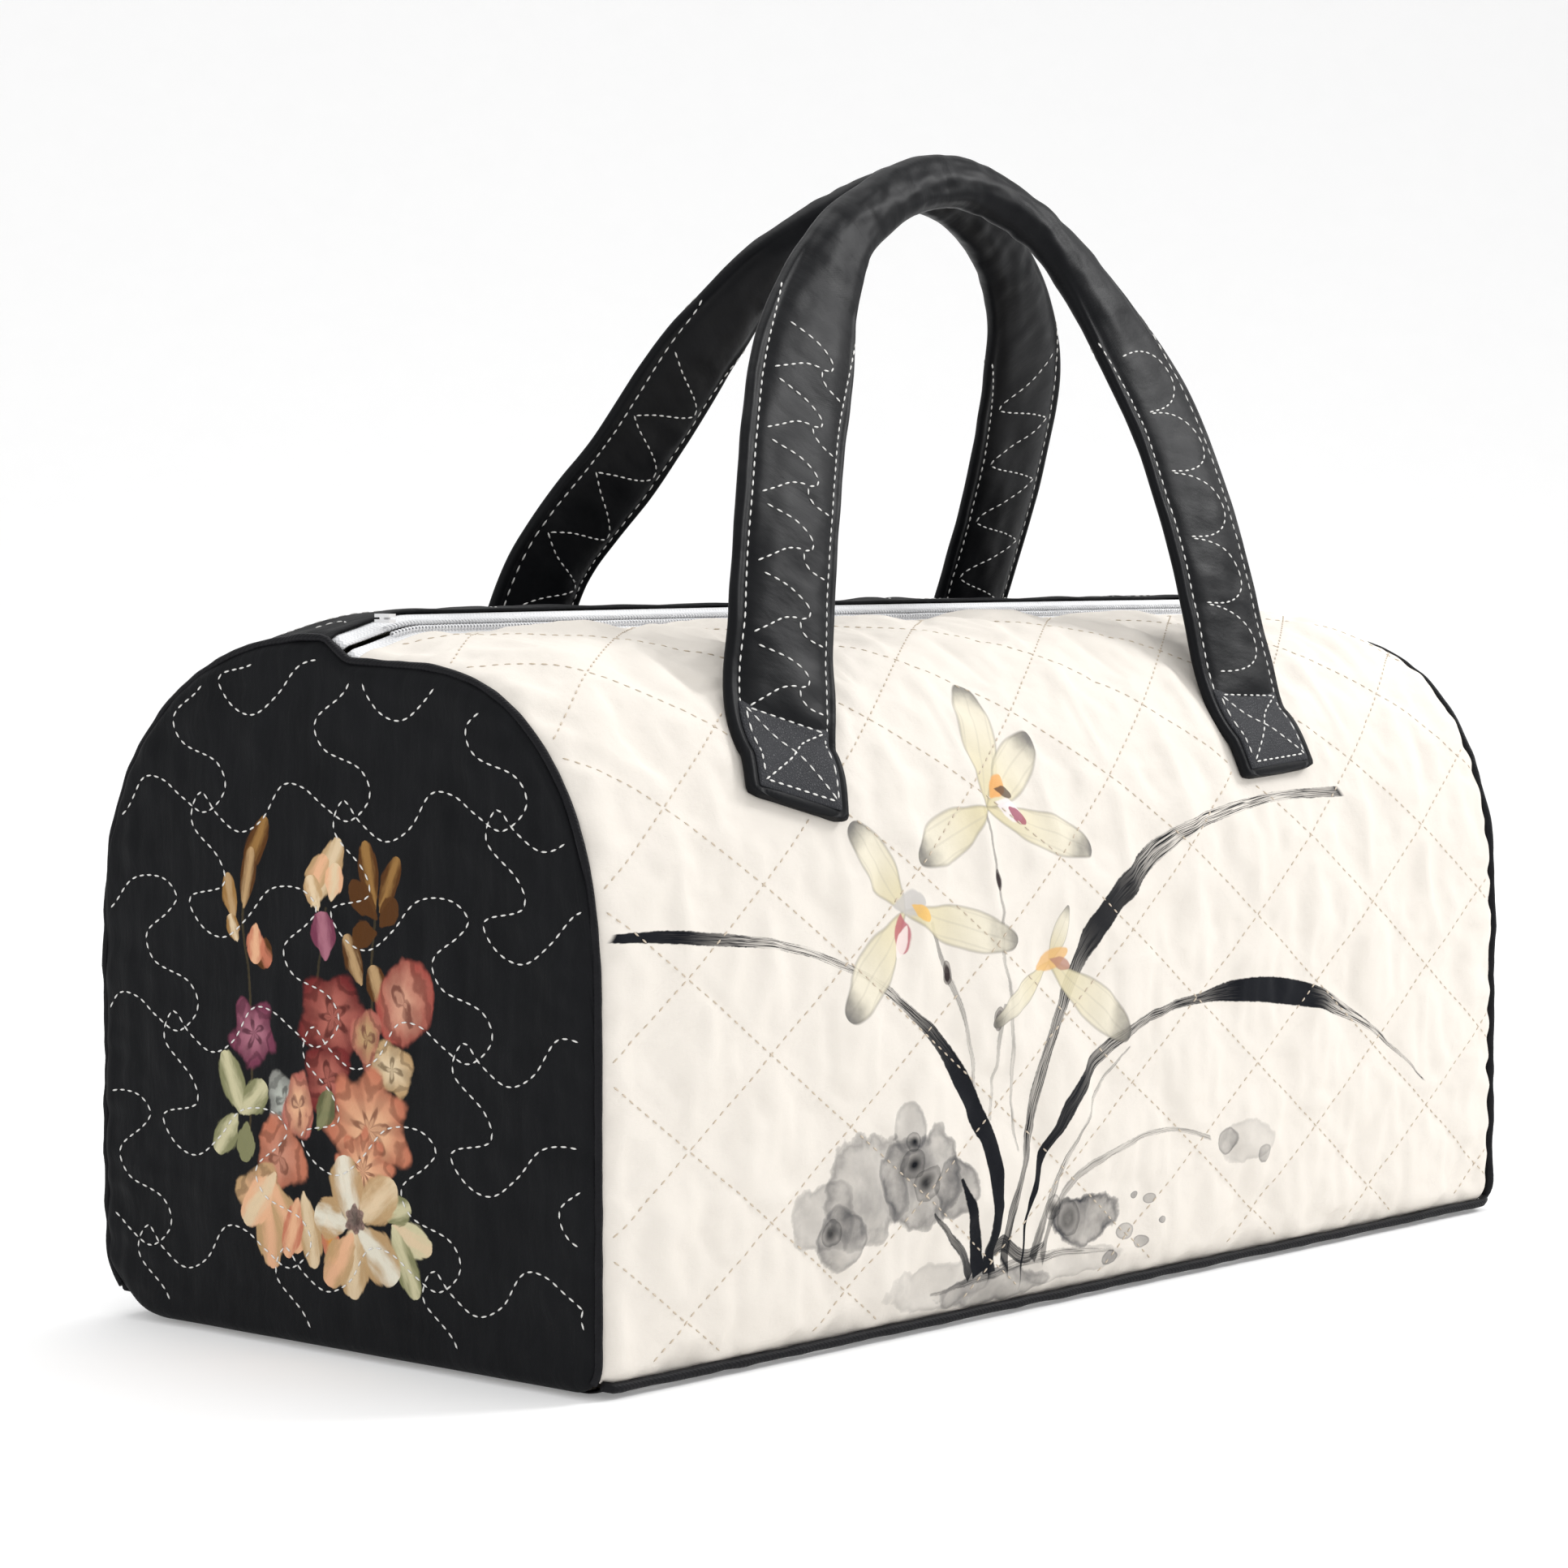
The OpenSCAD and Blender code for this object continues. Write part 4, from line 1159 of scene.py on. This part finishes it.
def under_base(flat):
    """The base cloth: flat on the table, turned up at the back and a little at the front."""
    x, y = flat.T
    rise = np.zeros_like(y)
    for side, r in corner_radius.items():
        into = np.clip(side * y - (half_depth - r), 0, r * 0.70)
        rise += r - np.sqrt(r * r - into * into)
    hollow = 0.0012 * (1 - (x / half_length) ** 2) * (1 - (y / half_depth) ** 2)
    return np.stack([x, y, rise + np.maximum(hollow, 0)], 1)


base_cloth, base_flat = cloth("base_cloth", np.linspace(-inner_end, inner_end, 121),
                              np.linspace(panel_low.y, panel_high.y, 57), under_base,
                              black_cloth, turned=True)
base_rim = np.minimum(inner_end - np.abs(base_flat[:, 0]),
                      np.minimum(base_flat[:, 1] - panel_low.y, panel_high.y - base_flat[:, 1]))
lumps = np.abs(ripple(spots_of(base_cloth), (0.03, 0.02, 0.02), 2.0, 3))
shift(base_cloth, -lumps * 0.0012 * ease(base_rim / 0.015))
thicken(base_cloth, face_thickness * 0.7, 1)
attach(base_cloth, "bag")
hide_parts("base_panel")


def grey_board(s):
    fibre = s.place(1000.0).cloud(0.5, 5.0)
    return {"Base_Color": fibre.mix((0.16, 0.14, 0.12, 1), (0.30, 0.27, 0.23, 1))}, fibre * 0.2, 0.001


def dress(piece, look):
    """Gives a piece one finish in place of any that it has."""
    piece.data.materials.clear()
    piece.data.materials.append(look)


dress(frame["nodes"]["base_board"], finish_of("grey_board", grey_board, Roughness=0.9))
lining_low, lining_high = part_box("base_lining")
bm = bmesh.new()
bmesh.ops.create_grid(bm, x_segments=90, y_segments=40, size=1)
for v in bm.verts:
    x = v.co.x * (lining_high.x - 0.002)
    y = lining_low.y + (v.co.y + 1) / 2 * (lining_high.y - lining_low.y)
    slack = abs(noise.fractal(Vector((x / 0.05, y / 0.04, 21.0)), 1.0, 2.0, 3)) * 0.003
    rim = min(lining_high.x - abs(x), y - lining_low.y, lining_high.y - y)
    v.co = (x, y, lining_high.z + slack * float(ease(rim / 0.02)))
base_sheet = add_piece("base_lining_cloth", bm, lining_look)
thicken(base_sheet, lining_thickness)
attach(base_sheet, "bag")
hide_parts("base_lining")

# ---- Piping -------------------------------------------------------------------------
# A thin cord wrapped in bias-cut satin is caught in each end seam and along the bottom
# seams. It draws up a little between stitches, so it is never quite straight.
def wrapped_satin(s):
    where = s.place(1000.0)
    x, y, z = where.parts()
    bias = ((x + y + z) * 4.0).wave()
    crease = where.cloud(0.30, 3.0)
    # Painted sheen and shade: the colour follows the crease relief, lighter on its ridges and darker in its
    # hollows.
    return {"Base_Color": crease.mix((0.006, 0.006, 0.007, 1), (0.014, 0.014, 0.016, 1)),
            "Roughness": crease * 0.2 + 0.40}, bias * 0.03 + crease * 0.2, 0.001


piping_look = finish_of("piping_satin", wrapped_satin, Specular_IOR_Level=0.08)


def cord_along(name, points, radius, look, uneven, seed):
    """A round sewn-in cord through points, drawn up slightly between its stitches."""
    points = np.array(points, float)
    bm = bmesh.new()
    sides = 10
    bmesh.ops.create_grid(bm, x_segments=sides, y_segments=len(points) - 1, size=1)
    ahead = np.gradient(points, axis=0)
    ahead /= np.linalg.norm(ahead, axis=1, keepdims=True)
    reference = (0, 0, 1) if abs(ahead[0, 0]) > 0.9 else (1, 0, 0)
    for v in bm.verts:
        i = round((v.co.y + 1) / 2 * (len(points) - 1))
        angle = math.pi * (v.co.x + 1)
        beside = np.cross(ahead[i], reference)
        beside /= np.linalg.norm(beside)
        over = np.cross(beside, ahead[i])
        swell = 1 + uneven * noise.noise(Vector(points[i] / 0.006) + Vector((seed, 0, 0)))
        v.co = points[i] + (beside * math.cos(angle) + over * math.sin(angle)) * radius * swell
    bmesh.ops.remove_doubles(bm, verts=bm.verts[:], dist=radius * 0.02)
    bmesh.ops.holes_fill(bm, edges=[e for e in bm.edges if e.is_boundary], sides=0)
    bmesh.ops.recalc_face_normals(bm, faces=bm.faces[:])
    return add_piece(name, bm, look)


cord_radius = 0.0015
end_cord_radius = {-1: 0.75 * cord_radius, 1: cord_radius}
for end, end_name in ((-1, "left"), (1, "right")):
    rounds = []
    for side in (-1, 1):
        s = np.linspace(0.001, outlines[side][1][-1], 130)
        flat = np.stack([np.full_like(s, end * (half_length - 0.0018)), s], 1)
        spots, ways = on_wall(side, flat, -0.0010)
        wobble = ripple(spots, 0.012, 5.0 * end + side, 2)[:, None]
        rounds.append(spots + ways * wobble * 0.0004 + np.array([end, 0, 0]) * wobble * 0.0005)
    route = np.concatenate([rounds[0], rounds[1][::-1][1:]])
    route[:, 2] = np.maximum(route[:, 2], cord_radius * 1.2)
    piping = cord_along(f"{end_name}_piping", route, end_cord_radius[end], piping_look, 0.16, end)
    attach(piping, "bag")
    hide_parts(f"{end_name}_seam_piping")
for side, wall in wall_names.items():
    x = np.linspace(-half_length + 0.004, half_length - 0.004, 150)
    flat = np.stack([x, np.full_like(x, 0.001)], 1)
    spots, ways = on_wall(side, flat, -0.0016)
    spots = spots + ways * ripple(spots, 0.014, side * 3.0, 2)[:, None] * 0.0003
    spots[:, 2] = np.maximum(spots[:, 2], cord_radius)
    piping = cord_along(f"{wall}_bottom_piping", spots, cord_radius, piping_look, 0.14, side * 2.0)
    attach(piping, "bag")
    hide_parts(f"{wall}_base_piping")

# ---- Zip ----------------------------------------------------------------------------
# A white nylon coil zip: two woven tapes sewn under the folded edges of the mouth, a coil
# along each, and a slider. The tapes and coils bend apart with the mouth flaps.
zip_whites = ((0.74, 0.75, 0.77, 1), (0.86, 0.86, 0.87, 1))


def herringbone(s):
    where = s.place(1000.0)
    x, y, z = where.parts()
    rows = (x * 5.0 + (y * 4.0).wave() * 1.6).wave()
    return {"Base_Color": rows.fade(-1.0, 1.0).mix(*zip_whites)}, rows * 0.06, 0.001


def nylon(s):
    milk = s.place(1000.0).cloud(0.5)
    return {"Base_Color": milk.mix(*zip_whites)}, None, 0


tape_look = finish_of("zip_tape_weave", herringbone, Roughness=0.6, Sheen_Weight=0.2)
coil_look = finish_of("zip_nylon", nylon, Roughness=0.25, Coat_Weight=0.2)
tape_low, tape_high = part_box("back_zip_tape")
coil_low, coil_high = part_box("back_zip_coil")
tape_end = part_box("back_zip_tape_ends")[1].x
coil_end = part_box("back_zip_coil_ends")[1].x
coil_pitch = 0.0013
coil_wire = 0.00034
coil_rise = 0.0007
tape_thickness = 0.00048
tape_lines = np.array([tape_high.y, 0.011, 0.008, 0.006, 0.0052, 0.0046, 0.004, 0.003, 0.002, tape_low.y])
for side, wall in wall_names.items():
    middle = outlines[side][1][-1]

    def tape_place(flat, side=side):
        spots = on_wall(side, flat, 0.0)[0]
        under_fold = ease((np.abs(spots[:, 1]) - zip_gap) / 0.002)
        spots[:, 2] += -0.0014 * (1 - under_fold) + (-face_thickness - 0.0003) * under_fold
        return spots

    tape, _ = cloth(f"{wall}_zip_tape_cloth", np.linspace(-tape_end, tape_end, 181), middle - tape_lines,
                    tape_place, tape_look, turned=side > 0)
    thicken(tape, tape_thickness)
    bend_with_mouth(tape, side)
    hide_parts(f"{wall}_zip_tape", f"{wall}_zip_tape_ends")
    turns = int(2 * coil_end / coil_pitch)
    angle = np.linspace(0, 2 * math.pi * turns, turns * 8)
    x = -coil_end + 2 * coil_end * angle / angle[-1]
    centre = on_wall(side, np.stack([x, np.full_like(x, middle - 0.0012)], 1), 0.0016)[0]
    width = (coil_high.y - coil_low.y) / 2
    route = np.stack([x, side * (coil_low.y - 0.0003 + width + width * np.cos(angle)),
                      centre[:, 2] + coil_rise * np.sin(angle) + 0.0004], 1)
    wire = bpy.data.curves.new(f"{wall}_coil", "CURVE")
    wire.dimensions = "3D"
    wire.bevel_depth = coil_wire
    wire.bevel_resolution = 0
    wire.use_fill_caps = True
    line = wire.splines.new("POLY")
    line.points.add(len(route) - 1)
    line.points.foreach_set("co", np.concatenate([route, np.ones((len(route), 1))], 1).ravel())
    shape = bpy.data.objects.new("coil_route", wire)
    coil = bpy.data.objects.new(f"{wall}_zip_coil_wire", bpy.data.meshes.new_from_object(shape))
    bpy.data.objects.remove(shape)
    dress(coil, coil_look)
    bpy.context.scene.collection.objects.link(coil)
    bend_with_mouth(coil, side)
    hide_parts(f"{wall}_zip_coil", f"{wall}_zip_coil_ends")


def white_enamel(s):
    speck = s.place(1000.0).cloud(0.35, 3.0)
    return {"Base_Color": speck.mix((0.76, 0.76, 0.77, 1), (0.84, 0.84, 0.85, 1)),
            "Roughness": speck * 0.12 + 0.20}, speck * 0.02, 0.001


enamel = finish_of("white_enamel", white_enamel, Coat_Weight=0.4)
for name in ("zip_slider", "zip_puller", "left_zip_stop", "right_zip_stop"):
    dress(frame["nodes"][name], enamel)

# ---- Handles ------------------------------------------------------------------------
# Each handle is one long padded strap of black satin with rolled, bound edges. Its ends
# are sewn flat to the wall, and over the top it is folded in half lengthwise as a grip.
def strap_satin(s):
    where = s.place(1000.0)
    along, across, _ = s.place(1000.0, "UV").parts()
    crease = s.point(along * 0.10, across * 0.05).cloud(1.0, 4.0)
    cloudy = where.cloud(0.04)
    rows = (along * 11.0).wave() * (across * 11.0).wave()
    # Painted sheen and shade: the colour follows the crease relief, lighter on its ridges and darker in its
    # hollows, over the satin's own cloudy unevenness.
    tone = (crease * 0.5 + cloudy * 0.5).mix((0.0035, 0.0037, 0.0043, 1), (0.010, 0.0105, 0.012, 1))
    return {"Base_Color": tone, "Roughness": crease * 0.22 + 0.30}, crease * 0.5 + rows * 0.01, 0.001


strap_look = finish_of("strap_satin", strap_satin, Specular_IOR_Level=0.07)
handle_pitch = 0.225
handle_rise = 0.160
grip_offset = 0.011
grip_wide, grip_thick = 0.018, 0.012
strap_thick, foot_thick = 0.007, 0.0034
shifts = {-1: -0.015, 1: 0.042}
rim_bead_high, rim_flat_high = 0.0019, 0.0011
seam_at, rim_at = 0.80, 0.905
# Each handle's route in its own leaning plane: across in half pitches, up as a share
routes = {-1: [(-1, 0), (-0.76, 0.32), (-0.47, 0.61), (-0.09, 0.87), (0.44, 1), (0.83, 0.9),
               (1.06, 0.59), (1.06, 0.3), (1, 0)],
          1: [(-1, 0), (-0.96, 0.22), (-0.79, 0.43), (-0.62, 0.68), (-0.39, 0.87), (0.07, 1),
              (0.56, 0.87), (0.85, 0.64), (0.97, 0.38), (1.01, 0.17), (1, 0)]}


def smooth_route(knots, gap):
    """A curve through the knots, with points about a gap apart."""
    knots = np.array(knots, float)
    ends = np.concatenate([[2 * knots[0] - knots[1]], knots, [2 * knots[-1] - knots[-2]]])
    line = np.array(through(ends, 30) + [knots[-1]])
    arc = np.concatenate([[0], np.cumsum(np.linalg.norm(np.diff(line, axis=0), axis=1))])
    places = np.linspace(0, arc[-1], int(arc[-1] / gap) + 1)
    return np.stack([np.interp(places, arc, line[:, k]) for k in range(3)], 1), places


handles = {}
for side, wall in wall_names.items():
    bend = joint_at(f"{wall}_handle_fold")
    crown = Vector((0, side * grip_offset, bend.z + handle_rise))
    slope = crown - bend
    plane_out = Vector((0, side * slope.z, -side * slope.y)).normalized()
    arch = [Vector((shifts[side] + a * handle_pitch / 2, 0, 0)) + bend + slope * up
            for a, up in routes[side]]

    def foot_line(leg):
        """Middle of a strap's sewn end, from the bottom edge up to where it leaves the wall."""
        _, x, z_low, z_high = feet[wall, leg]
        spots = []
        for z, lift in ((z_low, 0.0019), (z_low + 0.012, 0.0019), (z_high - 0.004, 0.0024)):
            share = (z - z_low) / (z_high - z_low)
            flat = np.array([[x + foot_slant[wall, leg] * (1 - share), height_on_wall(side, z)]])
            spots.append(Vector(on_wall(side, flat, -lift)[0][0]))
        return spots

    spine, lengths = smooth_route(foot_line("left") + arch[1:-1] + foot_line("right")[::-1], 0.0025)
    ahead = np.gradient(spine, axis=0)
    ahead /= np.linalg.norm(ahead, axis=1, keepdims=True)
    share_up = np.clip((spine[:, 2] - bend.z) / handle_rise, -1, 1)
    heights = [height_on_wall(side, min(z, body_top)) for z in spine[:, 2]]
    wall_out = on_wall(side, np.stack([spine[:, 0], heights], 1))[1]
    leave = ease((spine[:, 2] - bend.z + 0.012) / 0.03)[:, None]
    out = wall_out * (1 - leave) + np.array(plane_out) * leave
    out -= (out * ahead).sum(1)[:, None] * ahead
    out /= np.linalg.norm(out, axis=1, keepdims=True)
    beside = np.cross(out, ahead)
    folded = ease((share_up - 0.55) / 0.42)
    foot = ease((bend.z - 0.004 - spine[:, 2]) / 0.008)
    handles[side] = dict(spine=spine, lengths=lengths, out=out, beside=beside, folded=folded, foot=foot)

around = 56
for side, wall in wall_names.items():
    h = handles[side]
    count = len(h["spine"])
    bm = bmesh.new()
    bmesh.ops.create_grid(bm, x_segments=around, y_segments=count - 1, size=1)
    layer = bm.loops.layers.uv.new("cloth")
    flat_of = {}
    for v in bm.verts:
        i, k = round((v.co.y + 1) / 2 * (count - 1)), round((v.co.x + 1) / 2 * around)
        turn = 2 * math.pi * k / around
        a, b = math.cos(turn), math.sin(turn)
        g, f = h["folded"][i], h["foot"][i]
        half = (strap_wide * (1 - g) + grip_wide * g) / 2
        crown_high = strap_thick / 2 * (1 - f) + foot_thick / 2 * f
        swell = math.sqrt(max(0.0, 1 - (abs(a) / seam_at) ** 2.6))
        body = rim_flat_high + (crown_high - rim_flat_high) * swell
        bead_high = rim_bead_high * math.sqrt(max(0.0, 1 - ((abs(a) - rim_at) / (1 - rim_at)) ** 2))
        flat_high = max(body if abs(a) < seam_at else 0.0, bead_high) if abs(a) < 0.999 else 0.0
        round_high = grip_thick / 2 * abs(b) ** 0.9
        high = (flat_high * (1 - g) + round_high * g) * (1 if b >= 0 else -1) * (1 if abs(b) > 1e-6 else 0)
        spot = Vector(h["spine"][i]) + Vector(h["beside"][i]) * a * half + Vector(h["out"][i]) * high
        flat_of[v.index] = (h["lengths"][i], a * half)
        loose = (1 - f) * min(1.0, abs(b) * 2)
        pull = noise.fractal(Vector((h["lengths"][i] / 0.006, a * 1.1, side * 3 + (b > 0))), 1.0, 2.0, 3)
        sag = noise.fractal(Vector((h["lengths"][i] / 0.025, a * 1.5, side * 5 + (b > 0))), 1.0, 2.0, 2)
        way = Vector(h["out"][i]) * b + Vector(h["beside"][i]) * a * g
        v.co = spot + way * loose * (pull * (0.00035 + 0.00035 * g) + sag * 0.0007)
        edge_wave = noise.noise(Vector((h["lengths"][i] / 0.018, side * 9 + (a > 0), 0)))
        v.co += Vector(h["beside"][i]) * a * edge_wave * 0.0006 * (1 - f)
    for face in bm.faces:
        for loop in face.loops:
            loop[layer].uv = flat_of[loop.vert.index]
    bmesh.ops.remove_doubles(bm, verts=bm.verts[:], dist=0.00002)
    bmesh.ops.holes_fill(bm, edges=[e for e in bm.edges if e.is_boundary], sides=0)
    bmesh.ops.recalc_face_normals(bm, faces=bm.faces[:])
    strap = add_piece(f"{wall}_handle_strap", bm, strap_look)
    soften(strap, 1)
    h["strap"] = strap


def bend_handle(piece, side):
    """A strap leaves its sewn end in a short curve, and above that it turns with the handle."""
    bend = joint_at(f"{wall_names[side]}_handle_fold")
    up = Vector((0, -side * 0.425, 0.905))
    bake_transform(piece, "bag", f"{wall_names[side]}_handle", start=bend - up * 0.004, end=bend + up * 0.026)


def on_strap(side):
    """Places flat points (length along the strap, distance across it) on the outer face."""
    h = handles[side]

    def place(flat, face=1):
        flat = np.atleast_2d(flat)

        def mix(key):
            return np.stack([np.interp(flat[:, 0], h["lengths"], h[key][:, k]) for k in range(3)], 1)
        return mix("spine") + mix("beside") * flat[:, 1:2], mix("out") * face
    return place


strap_pieces = ("handle_cover", "handle_padding", "left_strap_end", "right_strap_end")
edge_seam = 0.0158
motif_gap = 0.0235
patch_length = 0.031
strap_stitch = dict(white_stitch, wide=0.00062)


def hook(at, turn):
    """A small wave that curls over, one of a row down the strap."""
    bits = [(-15, -1), (-9, -1.5), (-5, 0.5), (-4.5, 4), (-8, 6.5), (-7, 10), (-1, 12.5), (6, 13),
            (12, 13.5)]
    tail = [(-4, 4.5), (2, 2), (8, -3), (13, -7)]
    return [[(at + b * 0.001 * turn, a * 0.001) for a, b in part] for part in (bits, tail)]


def scallop(at, turn):
    """One bulge of a row of scallops, open at its start."""
    return [[(at + (11.5 + 11.5 * -math.cos(t)) * 0.001 * turn, (-13 + 24 * math.sin(t) ** 0.8) * 0.001)
             for t in np.linspace(0.02, math.pi - 0.02, 12)]]


def zigzag(at, turn):
    """One tooth of a loose zigzag."""
    tooth = [(0, -13), (4, -4), (8.5, 9), (11.5, 13), (15, 8), (20, -6), (23.5, -13)]
    return [[(at + a * 0.001 * turn, b * 0.001) for a, b in tooth]]


def rounded(points):
    """A smooth line through given points in the flat."""
    line, _ = smooth_route([(a, b, 0) for a, b in points], 0.0006)
    return line[:, :2]


for side, wall in wall_names.items():
    h = handles[side]
    strap = h["strap"]
    total = h["lengths"][-1]
    flat_part = h["folded"] < 0.30
    first_fold = h["lengths"][np.argmax(~flat_part)]
    last_fold = h["lengths"][len(flat_part) - 1 - np.argmax(~flat_part[::-1])]
    runs = []
    for start, stop in ((0.004, first_fold), (last_fold, total - 0.004)):
        for across in (-edge_seam, edge_seam):
            s = np.linspace(start, stop, 60)
            runs.append(np.stack([s, np.full_like(s, across)], 1))
    motifs = {(-1, 0): hook, (-1, 1): scallop, (1, 0): zigzag, (1, 1): zigzag}
    for leg, length, origin, turn in ((0, first_fold, 0, 1), (1, total - last_fold, total, -1)):
        for n in range(int((length - patch_length - 0.004) / motif_gap)):
            at = origin + turn * (patch_length + 0.005 + n * motif_gap)
            runs += [rounded(part) for part in motifs[side, leg](at, turn)]
    skin = skin_of(strap)
    face = sew(f"{wall}_handle_stitches", skin, on_strap(side), runs, **strap_stitch)
    under = sew(f"{wall}_handle_under_stitches", skin, lambda flat, side=side: on_strap(side)(flat, -1),
                runs, **strap_stitch)
    for piece in (strap, face, under):
        bend_handle(piece, side)
    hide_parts(*[f"{wall}_{name}" for name in strap_pieces])

# ---- Strap patches ------------------------------------------------------------------
# A patch of dark grey leather-look cloth is sewn over the end of each strap with a box of
# stitches crossed corner to corner, which carries the load into the wall.
def leather(s):
    where = s.place(1000.0)
    grain = s.node("ShaderNodeTexVoronoi", {"feature": "DISTANCE_TO_EDGE"}, Vector=where, Scale=1.15)
    pebble = grain.fade(0.0, 0.32)
    worn = where.cloud(0.10, 4.0)
    tone = (worn * 0.7 + pebble * 0.3).mix((0.016, 0.017, 0.020, 1), (0.044, 0.045, 0.050, 1))
    return {"Base_Color": tone, "Roughness": pebble * -0.12 + worn * 0.15 + 0.50}, \
        pebble * 0.12 + worn * 0.1, 0.001


leather_look = finish_of("patch_leather", leather, Specular_IOR_Level=0.12)
patch_inset = 0.0028
patch_rise = 0.0009
patch_end = 0.0305
box_inset = 0.0022
patch_stitch = dict(white_stitch, show=0.0024, wide=0.00066)
for side, wall in wall_names.items():
    h = handles[side]
    total = h["lengths"][-1]
    skin = skin_of(h["strap"])
    lay_on = on_strap(side)
    for leg in ("left", "right"):
        ends = (patch_inset, patch_end) if leg == "left" else (total - patch_end, total - patch_inset)
        half = strap_wide / 2 - patch_inset - 0.0006
        bm = bmesh.new()
        bmesh.ops.create_grid(bm, x_segments=20, y_segments=20, size=1)
        for v in bm.verts:
            u, w = v.co.x, v.co.y
            flat = np.array([[ends[0] + (ends[1] - ends[0]) * (u + 1) / 2, w * half]])
            spots, ways = lay_on(flat)
            rim = 1 - max(abs(u), abs(w))
            sewn_in = 0.0003 if 0.04 < rim < 0.12 else 0.0
            high = foot_thick / 2 + patch_rise * min(1.0, 0.25 + rim / 0.08) - sewn_in
            v.co = Vector(spots[0]) + Vector(ways[0]) * high
        bmesh.ops.recalc_face_normals(bm, faces=bm.faces[:])
        if sum((f.normal.dot(Vector(ways[0])) for f in bm.faces)) < 0:
            bmesh.ops.reverse_faces(bm, faces=bm.faces[:])
        patch = add_piece(f"{wall}_{leg}_patch_leather", bm, leather_look)
        thicken(patch, patch_rise, 1)
        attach(patch, "bag")
        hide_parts(f"{wall}_{leg}_patch")
        a0, a1 = ends[0] + box_inset, ends[1] - box_inset
        c = half - box_inset
        corners = [(a0, -c), (a1, -c), (a1, c), (a0, c), (a0, -c)]
        box = [np.array([p, q]) for p, q in zip(corners, corners[1:])]
        cross = [np.array([corners[0], corners[2]]), np.array([corners[1], corners[3]])]
        stitches = sew(f"{wall}_{leg}_patch_stitches", skin_of(patch), lay_on, box + cross, **patch_stitch)
        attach(stitches, "bag")
